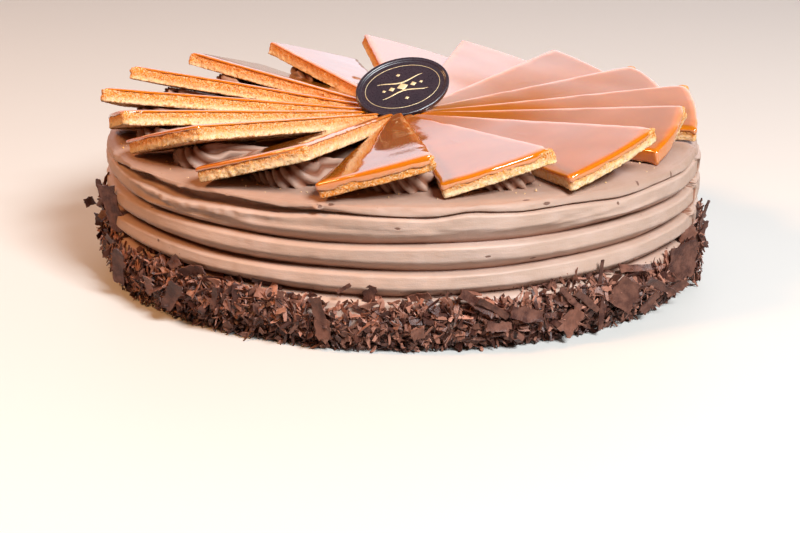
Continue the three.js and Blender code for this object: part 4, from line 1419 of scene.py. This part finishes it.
def caramel_piece(wedge, index, cream, settings):
    """A sheet of caramel: rings from under its middle out to a ragged skirt that clings to the sponge, up
    round a broad elliptical shoulder and in over slow waves. Rows 0 to 7 are the underside and the skirt,
    8 to 15 the shoulder, and the rest the top."""
    outline, within = (
        wedge_outline(wedge, inset, CARAMEL_ROUNDING, CARAMEL_COLUMNS, settings.kerf)[0]
        for inset in (CARAMEL_INSET, CARAMEL_INSET + settings.shoulder)
    )
    normal = (outline - within) / settings.shoulder
    cut = math.radians(wedge["cut"])
    top = settings.sponge_thickness + GAP + settings.caramel_thickness
    base = settings.sponge_thickness + settings.soak + 0.03 * MM
    thick = top - base
    drip, out, width = caramel_edge(outline, wedge, index, base, settings.shoulder)
    levels = [(0.8, 0, base), (0.1, 0, base), (0, -0.35 * MM, base), (0, -0.25 * MM, base - drip)]
    levels += [(0, out - 0.12 * MM, base - drip), (0, out + 0.05 * MM, base - 0.8 * drip)]
    levels += [(0, out + 0.08 * MM, base - 0.35 * drip), (0, out, base + 0.12 * thick)]
    for bend in np.radians([12, 26, 40, 52, 64, 74, 82, 90]):
        level = base + thick * (0.16 + (1 - 0.16) * math.sin(bend))
        levels.append((0, out - width * (1 - math.cos(bend)), level))
    rings, middle = slab_rows(outline, normal, levels)
    inner = rings[-1].copy()
    more = []
    for shrink in (0.08, 0.16, 0.26, 0.36, 0.48, 0.6, 0.72, 0.84, 0.93):
        ring = inner.copy()
        ring[:, :2] = middle + (inner[:, :2] - middle) * (1 - shrink)
        more.append(ring)
    rings = np.concatenate([rings, np.array(more)])
    sample = rings * [1, 1, 0] + [index * 0.37, 0, 0.02]
    waves = 0.13 * MM * smooth_noise(sample * [0.5, 1, 1], 12 * MM, 71)
    bumps = 0.05 * MM * smooth_noise(sample, 4.5 * MM, 73)
    row = np.arange(len(rings))[:, None]
    on_edge = smoothstep(7, 10, row) * smoothstep(17, 14, row)
    rings[..., 2] += waves * smoothstep(9, 15, row) + bumps * on_edge
    kept = {
        "edge": np.broadcast_to(np.clip(1 - (row - 9) / 7, 0, 1), rings.shape[:2]),
        "flat_x": rings[..., 0] / MM,
        "flat_y": rings[..., 1] / MM,
        "cut": np.full(rings.shape[:2], cut),
        "pool": np.full(rings.shape[:2], wedge["pool"]),
    }
    placed = wedge_placed(rings, wedge, index, cream)
    ends = wedge_placed(np.array([[*middle, base], [*middle, top]]), wedge, index, cream)
    return add_closed(f"wedge_caramel_{index + 1:02d}", placed, ends[0], ends[1], kept)


class TORTE_OT_wedges(bpy.types.Operator):
    """Builds the sixteen wedges: slabs of sponge under sheets of caramel, each cut from its own outline"""

    bl_idname = "torte.wedges"
    bl_label = "Caramel wedges"

    def execute(self, context):
        cream = context.scene.torte_cream
        settings = context.scene.torte_wedges
        sponge = sponge_material(settings)
        caramel = caramel_material(settings)
        for index, wedge in enumerate(WEDGES):
            number = f"{index + 1:02d}"
            slab = sponge_piece(wedge, index, cream, settings)
            finish_piece(slab, sponge, "sponge", f"sponge_{number}")
            sheet = caramel_piece(wedge, index, cream, settings)
            finish_piece(sheet, caramel, "caramel", f"caramel_{number}")
        return {"FINISHED"}


# ------------------------------------------------------------------------------------ swirls

def swirl_rows(wedge, index, cream, settings):
    """One piped swirl over its length and its girth. It starts near the wedge's low edge, runs along the
    rim, hooks round and is drawn in towards the middle as a tail: heading = 90 + 95 * smoothstep degrees.
    Its section is a star of sharp crests and round valleys, 1 - |sin(flutes * phi / 2)|, screwed along the
    head and pressed flat where the wedge above is too low."""
    s = (1 - np.cos(math.pi * np.linspace(0.015, 0.99, SWIRL_ROWS))) / 2
    phi = np.linspace(0, 2 * math.pi, SWIRL_COLUMNS, endpoint=False)[None, :]
    long = settings.length * (1 + 0.05 * math.sin(1.7 * index))
    t = long * s / MM
    head = settings.head_length / MM
    heading = np.radians(92 + 93 * smoothstep(head - 5, head + 9, t) + 5 * np.sin(t / 9 + 2 * index))
    step = np.gradient(t)
    x = settings.head_radius / MM + np.cumsum(np.cos(heading) * step) + 1.2 * math.sin(2.1 * index)
    y = settings.start / MM + np.cumsum(np.sin(heading) * step) + 0.9 * math.sin(1.3 * index + 1)
    girth = (0.42 + 0.58 * smoothstep(0, head - 2, t)) * (1 - 0.62 * smoothstep(head + 3, long / MM, t))
    girth = (settings.girth / MM * girth * np.sqrt(np.clip(1 - (2 * s - 1) ** 14, 0, 1)))[:, None]
    screw = 400 * t / head * smoothstep(head + 14, head - 2, t)
    screw = screw + (430 + t) * smoothstep(head - 2, head + 14, t)
    wave = 1 - np.abs(np.sin(settings.flutes * (phi + np.radians(screw + 31 * index)[:, None]) / 2))
    flute = 1 - settings.flute_depth * (1 - wave**0.75)
    sample = np.stack([np.cos(phi) * girth, np.sin(phi) * girth, t[:, None] + 70 * index + 0 * phi], -1)
    flute = flute * (1 + 0.06 * layered_noise(sample, 3.5, 2, 83))
    outward = girth * flute * np.cos(phi)
    x = x[:, None] + outward * np.sin(heading)[:, None]
    y = y[:, None] - outward * np.cos(heading)[:, None]
    z = girth * (SWIRL_SEAT + 1.1 * flute * np.sin(phi))
    ceiling = y * math.tan(math.radians(wedge["tilt"])) - 0.05 - 1.5 * (1 - wave)
    z = np.maximum(np.minimum(z, ceiling), -0.4)
    # The second result is painted shade for the valleys between the flutes.
    return np.stack([x, y, z + cream.height / MM], -1) * MM, 0.95 * (1 - wave) ** 2


class TORTE_OT_swirls(bpy.types.Operator):
    """Pipes the sixteen swirls under the wedges: a fluted section carried from head to tail"""

    bl_idname = "torte.swirls"
    bl_label = "Piped swirls"

    def execute(self, context):
        cream = context.scene.torte_cream
        settings = context.scene.torte_swirls
        material = cream_material(cream)
        for index, wedge in enumerate(WEDGES):
            rows, valleys = swirl_rows(wedge, index, cream, settings)
            rows = turned(rows, wedge_turn(wedge, index), 2)[:, ::-1]
            ends = rows[0, ::-1].mean(axis=0), rows[-1, ::-1].mean(axis=0)
            # Painted shade in the flutes' valleys, for the cream shader.
            valleys = {"crease_shade": valleys[:, ::-1]}
            piece = add_closed(f"piped_swirl_{index + 1:02d}", rows, *ends, valleys)
            finish_piece(piece, material, "cream", f"swirl_{index + 1:02d}")
        return {"FINISHED"}


# ------------------------------------------------------------------------------------ plaque

def oval(points, settings):
    """Stretches round rings into ovals by pushing each point out along X by the same length."""
    radius = np.hypot(points[..., 0], points[..., 1])
    stretch = settings.half_length - settings.half_width
    result = points.copy()
    result[..., 0] = points[..., 0] * (radius + stretch) / np.maximum(radius, 1e-9)
    return result


def plaque_placed(points):
    """Rolls the tablet in its own plane, leans it back and sets it on the wedges' tips."""
    return turned(turned(points, PLAQUE_ROLL, 2), PLAQUE_LEAN, 0) + np.array(PLAQUE_CENTRE) * MM


def plaque_rows(settings):
    """The tablet's section turned round its axis: back, softly rounded edge, rim, step and face."""
    half = settings.thickness / 2
    width = settings.half_width
    soft = 0.6 * MM
    inner = width - settings.rim_width
    section = [(0.3 * width, -half), (0.7 * width, -half), (width - soft - 0.3 * MM, -half)]
    for bend in np.radians([-90, -60, -30, 0]):
        section.append((width - soft + soft * math.cos(bend), -half + soft + soft * math.sin(bend)))
    for bend in np.radians([0, 22, 45, 67, 90]):
        section.append((width - soft + soft * math.cos(bend), half - soft + soft * math.sin(bend)))
    section += [(inner + 0.25 * MM, half), (inner + 0.08 * MM, half - 0.06 * MM)]
    depth = settings.recess
    section += [(inner - 0.18 * MM, half - 0.35 * depth), (inner - 0.40 * MM, half - 0.8 * depth)]
    section += [(inner - 0.75 * MM, half - 0.98 * depth), (inner - 1.3 * MM, half - depth)]
    section += [(part * inner, half - depth) for part in (0.8, 0.6, 0.4, 0.2)]
    phi = np.linspace(0, 2 * math.pi, 128, endpoint=False)
    radius = np.array([r for r, _ in section])[:, None]
    height = np.array([h for _, h in section])[:, None]
    rows = np.stack([radius * np.cos(phi), radius * np.sin(phi), height + 0 * phi], -1)
    return oval(rows, settings)


def ribbon(path, width, height, closed):
    """A flat band of four corners carried along a path on the face, with rounded corners at its rim."""
    ahead = np.roll(path, -1, axis=0) - np.roll(path, 1, axis=0)
    if not closed:
        ahead[0], ahead[-1] = path[1] - path[0], path[-1] - path[-2]
    ahead = ahead / np.linalg.norm(ahead, axis=1, keepdims=True)
    side = np.stack([-ahead[:, 1], ahead[:, 0]], -1)
    corners = [(-0.5, 0.0), (0.5, 0.0), (0.5, 0.6), (0.3, 1.0), (-0.3, 1.0), (-0.5, 0.6)]
    width = np.broadcast_to(width, (len(path),))[:, None]
    rings = [
        np.concatenate([path + side * width * across, np.full((len(path), 1), height * up)], axis=1)
        for across, up in corners
    ]
    rings = np.stack(rings, axis=1)
    size, sides = rings.shape[:2]
    quads = grid_faces(size + (1 if closed else 0), sides)
    quads = quads % (size * sides)
    if not closed:
        ends = [[0, 1, 2, 5], [2, 3, 4, 5]]
        far = [[(size - 1) * sides + k for k in end][::-1] for end in ends]
        quads = np.concatenate([quads, ends, far])
    return rings.reshape(-1, 3), quads


def ornament_bands(settings):
    """A plain printed ornament: a fine oval line, two leaning wave lines and rows of small lozenges."""
    phi = np.linspace(0, 2 * math.pi, 120, endpoint=False)
    inner = settings.half_width - settings.rim_width
    ring = np.stack([0.80 * inner * np.cos(phi), 0.80 * inner * np.sin(phi), 0 * phi], -1)
    bands = [ribbon(oval(ring, settings)[:, :2], 0.22 * MM, 0.10 * MM, True)]
    t = np.linspace(-1, 1, 50)
    taper = 0.28 + 0.75 * (1 - t**2)
    for sign in (1, -1):
        wave = np.stack([t * 10.5 * MM, sign * (3.0 - 0.9 * np.cos(t * math.pi)) * MM], -1)
        bands.append(ribbon(wave, taper * 0.62 * MM, 0.12 * MM, False))
    for x, y, size in LOZENGES:
        s = np.linspace(-1, 1, 9)
        line = np.stack([x * MM + s * size * MM, np.full(9, y * MM)], -1)
        bands.append(ribbon(line, (1 - np.abs(s)) * size * 1.5 * MM + 0.02 * MM, 0.12 * MM, False))
    return bands


def rosette_rows(settings, cream):
    """A fluted mound: a ball's upper part with round crests and sharp valleys turning up to its point."""
    up = np.linspace(-0.25, 0.97, 60)[:, None]
    phi = np.linspace(0, 2 * math.pi, 96, endpoint=False)[None, :]
    ball = np.sqrt(1 - up**2)
    wave = np.abs(np.sin(3 * (phi + 0.9 * up)))
    radius = settings.rosette_radius * ball * (1 - 0.16 * (1 - wave**0.75))
    z = cream.height + GAP + settings.rosette_height * np.clip(0.3 + 0.7 * up, 0, 1)
    x, y = radius * np.cos(phi), radius * np.sin(phi) + 2.5 * MM
    lean = math.radians(PLAQUE_LEAN)
    back = PLAQUE_CENTRE[2] * MM - (settings.thickness / 2 + 0.1 * MM) / math.cos(lean)
    ceiling = back + (y - PLAQUE_CENTRE[1] * MM) * math.tan(lean)
    z = np.where(z > ceiling, ceiling, z)
    return np.stack([x, y, z], -1)


class TORTE_OT_plaque(bpy.types.Operator):
    """Builds the oval tablet from its section, its printed ornament and the rosette it leans on"""

    bl_idname = "torte.plaque"
    bl_label = "Plaque and rosette"

    def execute(self, context):
        cream = context.scene.torte_cream
        settings = context.scene.torte_plaque
        rows = plaque_placed(plaque_rows(settings))
        half = settings.thickness / 2
        ends = plaque_placed(np.array([[0, 0, -half], [0, 0, half - settings.recess]]))
        tablet = add_closed("oval_plaque", rows, ends[0], ends[1])
        finish_piece(tablet, plaque_material(settings), "chocolate", "plaque")
        vertices, faces, start = [], [], 0
        for points, quads in ornament_bands(settings):
            vertices.append(points + [0, 0, half - settings.recess - 0.02 * MM])
            faces.append(quads + start)
            start += len(points)
        vertices = plaque_placed(np.concatenate(vertices))
        ornament = add_mesh("plaque_ornament", vertices, np.concatenate(faces))
        finish_piece(ornament, gold_material(settings), "chocolate")
        mound = rosette_rows(settings, cream)
        rosette = add_closed("cream_rosette", mound, mound[0].mean(axis=0), mound[-1].mean(axis=0))
        finish_piece(rosette, cream_material(cream), "cream", "rosette")
        return {"FINISHED"}


# ------------------------------------------------------------------------------------ crumbs

def lump_template():
    """A small closed lump: an octahedron cut finer once and pushed out to a ball."""
    corners = np.array([[1, 0, 0], [-1, 0, 0], [0, 1, 0], [0, -1, 0], [0, 0, 1], [0, 0, -1]], float)
    faces = [(0, 2, 4), (2, 1, 4), (1, 3, 4), (3, 0, 4), (2, 0, 5), (1, 2, 5), (3, 1, 5), (0, 3, 5)]
    points, triangles, middles = list(corners), [], {}

    def middle(a, b):
        key = (min(a, b), max(a, b))
        if key not in middles:
            middles[key] = len(points)
            half = (points[a] + points[b]) / 2
            points.append(half / np.linalg.norm(half))
        return middles[key]

    for a, b, c in faces:
        ab, bc, ca = middle(a, b), middle(b, c), middle(c, a)
        triangles += [(a, ab, ca), (ab, b, bc), (ca, bc, c), (ab, bc, ca)]
    return np.array(points), np.array(triangles)


def lumps(name, places, sizes, seed):
    """Uneven crumbs at these places: every point of each lump is pushed in or out by its own draw."""
    random = np.random.default_rng(seed)
    points, triangles = lump_template()
    number = len(places)
    shape = points[None] * random.uniform(0.65, 1.15, (number, len(points), 1))
    shape = shape * random.uniform(0.6, 1.0, (number, 1, 3)) * sizes[:, None, None]
    vertices = (shape + places[:, None, :]).reshape(-1, 3)
    faces = repeated(triangles, number, len(points))
    tone = np.repeat(random.uniform(0, 1, number), len(points))
    kept = {"rise": 0.45 + 0.2 * tone, "tone": tone}
    return add_mesh(name, vertices, np.zeros((0, 4), int), faces, kept)


class TORTE_OT_crumbs(bpy.types.Operator):
    """Scatters crumbs: sponge crumbs by the wedges' outer ends, chocolate ones on the ridges"""

    bl_idname = "torte.crumbs"
    bl_label = "Crumbs"

    def execute(self, context):
        cream = context.scene.torte_cream
        random = np.random.default_rng(CRUMB_SEED)
        number = SPONGE_CRUMBS
        angle = random.uniform(-180, 180, number)
        radius = random.uniform(112, 126, number) * MM
        size = random.uniform(0.2, 0.55, number) * MM
        beyond = radius - 121 * MM
        drop = np.where(beyond > 0, 0.03 * beyond * beyond / MM, 0)
        places = around(angle, radius, cream.height + 0.3 * size - drop)
        crumbs = lumps("sponge_crumbs", places, size, CRUMB_SEED + 1)
        finish_piece(crumbs, sponge_material(context.scene.torte_wedges), "sponge")
        number = CHOCOLATE_CRUMBS
        angle = random.uniform(-180, 180, number)
        z = (shaving_top(angle) + np.abs(random.normal(0, 3.2, number))) * MM
        wall, _ = side_radius(angle, z, cream)
        size = random.uniform(0.2, 0.6, number) * MM
        places = around(angle, wall + 0.3 * size, z)
        dust = lumps("chocolate_crumbs", places, size, CRUMB_SEED + 2)
        finish_piece(dust, shaving_material(context.scene.torte_shavings), "chocolate")
        return {"FINISHED"}


# ------------------------------------------------------------------------------------ stage

def area_light(name, place, aim, size, power, tint):
    """A soft rectangular light of a size in metres at a place, pointing at aim."""
    data = bpy.data.lights.new(name, "AREA")
    data.shape = "RECTANGLE"
    data.size, data.size_y = size
    data.energy = power
    data.color = tint
    lamp = bpy.data.objects.new(name, data)
    bpy.context.scene.collection.objects.link(lamp)
    place, aim = np.array(place), np.array(aim)
    lamp.location = place
    lamp.rotation_euler = Vector(aim - place).to_track_quat("-Z", "Y").to_euler()


def studio_world(settings):
    """A dim warm room with a white backdrop behind the cake, brightest low down and a little to the right.
    Matt surfaces get less and warmer light from it than mirrors show."""
    world = bpy.data.worlds.new("studio")
    world.use_nodes = True
    sky = Shader(world.node_tree)
    generated = sky.node("ShaderNodeTexCoord").outputs["Generated"]
    x, y, z = sky.node("ShaderNodeSeparateXYZ", {"Vector": generated}).outputs
    behind = sky.span(y, 0.25, 0.75)
    behind = sky.times(behind, sky.span(sky.math("ABSOLUTE", x), 0.5, 0.92, 1.0, 0.0))
    low = sky.span(z, 0.36, 0.72, settings.backdrop, 0.42 * settings.backdrop)
    low = sky.times(low, sky.span(z, 0.66, 0.86, 1.0, 0.05))
    low = sky.times(low, sky.span(x, -0.30, 0.25, 0.75, 1.2))
    low = sky.times(low, sky.span(z, 0.0, 0.4, 0.70, 1.0))
    scattered = sky.node("ShaderNodeLightPath").outputs["Is Diffuse Ray"]
    low = sky.times(low, sky.span(scattered, 0.0, 1.0, 1.0, 0.4))
    strength = sky.plus(sky.times(behind, low), settings.ambient)
    backdrop = world.node_tree.nodes["Background"]
    white = sky.mix(scattered, (0.96, 0.95, 1.05), (1.0, 0.84, 0.72))
    sky.feed(backdrop.inputs["Color"], sky.mix(behind, (1.0, 0.60, 0.36), white))
    sky.feed(backdrop.inputs["Strength"], strength)
    return world


def photo_camera(settings):
    """The camera in front, looking down by its elevation at a point on the axis, and rolled slightly."""
    data = bpy.data.cameras.new("camera")
    data.lens = settings.lens
    data.sensor_width = SENSOR_WIDTH
    data.shift_x = FRAME_SHIFT
    data.clip_start = 0.05
    camera = bpy.data.objects.new("camera", data)
    bpy.context.scene.collection.objects.link(camera)
    camera.location = (
        0, -settings.distance * math.cos(settings.elevation),
        settings.aim + settings.distance * math.sin(settings.elevation),
    )
    camera.rotation_euler = (math.pi / 2 - settings.elevation, 0, 0)
    camera.rotation_euler.rotate_axis("Z", math.radians(CAMERA_ROLL))
    return camera


class TORTE_OT_stage(bpy.types.Operator):
    """Sets the floor, the soft lights and the camera"""

    bl_idname = "torte.stage"
    bl_label = "Stage"

    def execute(self, context):
        settings = context.scene.torte_stage
        bpy.ops.mesh.primitive_plane_add(size=FLOOR_SIZE)
        floor = context.active_object
        floor.name = "floor"
        floor.data.materials.append(floor_material(settings))
        context.scene.world = studio_world(settings)
        area_light("key_softbox", (0.75, -1.2, 1.25), LIGHT_AIM, (0.6, 0.6), 54, (0.88, 0.96, 1.0))
        area_light("left_softbox", (-1.15, -0.45, 1.25), LIGHT_AIM, (0.4, 0.4), 17.5, (1.0, 0.51, 0.22))
        context.scene.camera = photo_camera(settings)
        context.scene.view_settings.view_transform = "Standard"
        return {"FINISHED"}


# ------------------------------------------------------------------------------------ panel and run

OPERATORS = (
    TORTE_OT_stage, TORTE_OT_cream, TORTE_OT_shavings, TORTE_OT_wedges, TORTE_OT_swirls, TORTE_OT_plaque,
    TORTE_OT_crumbs,
)
SETTINGS = {
    "torte_cream": CreamSettings,
    "torte_shavings": ShavingSettings,
    "torte_wedges": WedgeSettings,
    "torte_swirls": SwirlSettings,
    "torte_plaque": PlaqueSettings,
    "torte_stage": StageSettings,
}


class TORTE_PT_sidebar(bpy.types.Panel):
    """Lists the torte's pieces in the sidebar, with their sizes and colours"""

    bl_idname = "TORTE_PT_sidebar"
    bl_label = "Dobos torte"
    bl_space_type = "VIEW_3D"
    bl_region_type = "UI"
    bl_category = "Torte"

    def draw(self, context):
        for operator in OPERATORS:
            self.layout.operator(operator.bl_idname)
        for key, group in SETTINGS.items():
            box = self.layout.box()
            box.label(text=group.__name__)
            for name in group.__annotations__:
                box.prop(getattr(context.scene, key), name)


def register():
    for group in SETTINGS.values():
        bpy.utils.register_class(group)
    for key, group in SETTINGS.items():
        setattr(bpy.types.Scene, key, bpy.props.PointerProperty(type=group))
    for operator in OPERATORS:
        bpy.utils.register_class(operator)
    bpy.utils.register_class(TORTE_PT_sidebar)


def unregister():
    bpy.utils.unregister_class(TORTE_PT_sidebar)
    for operator in reversed(OPERATORS):
        bpy.utils.unregister_class(operator)
    for key, group in SETTINGS.items():
        delattr(bpy.types.Scene, key)
        bpy.utils.unregister_class(group)


def main():
    register()
    for operator in OPERATORS:
        group, name = operator.bl_idname.split(".")
        getattr(getattr(bpy.ops, group), name)()


if __name__ == "__main__":
    main()
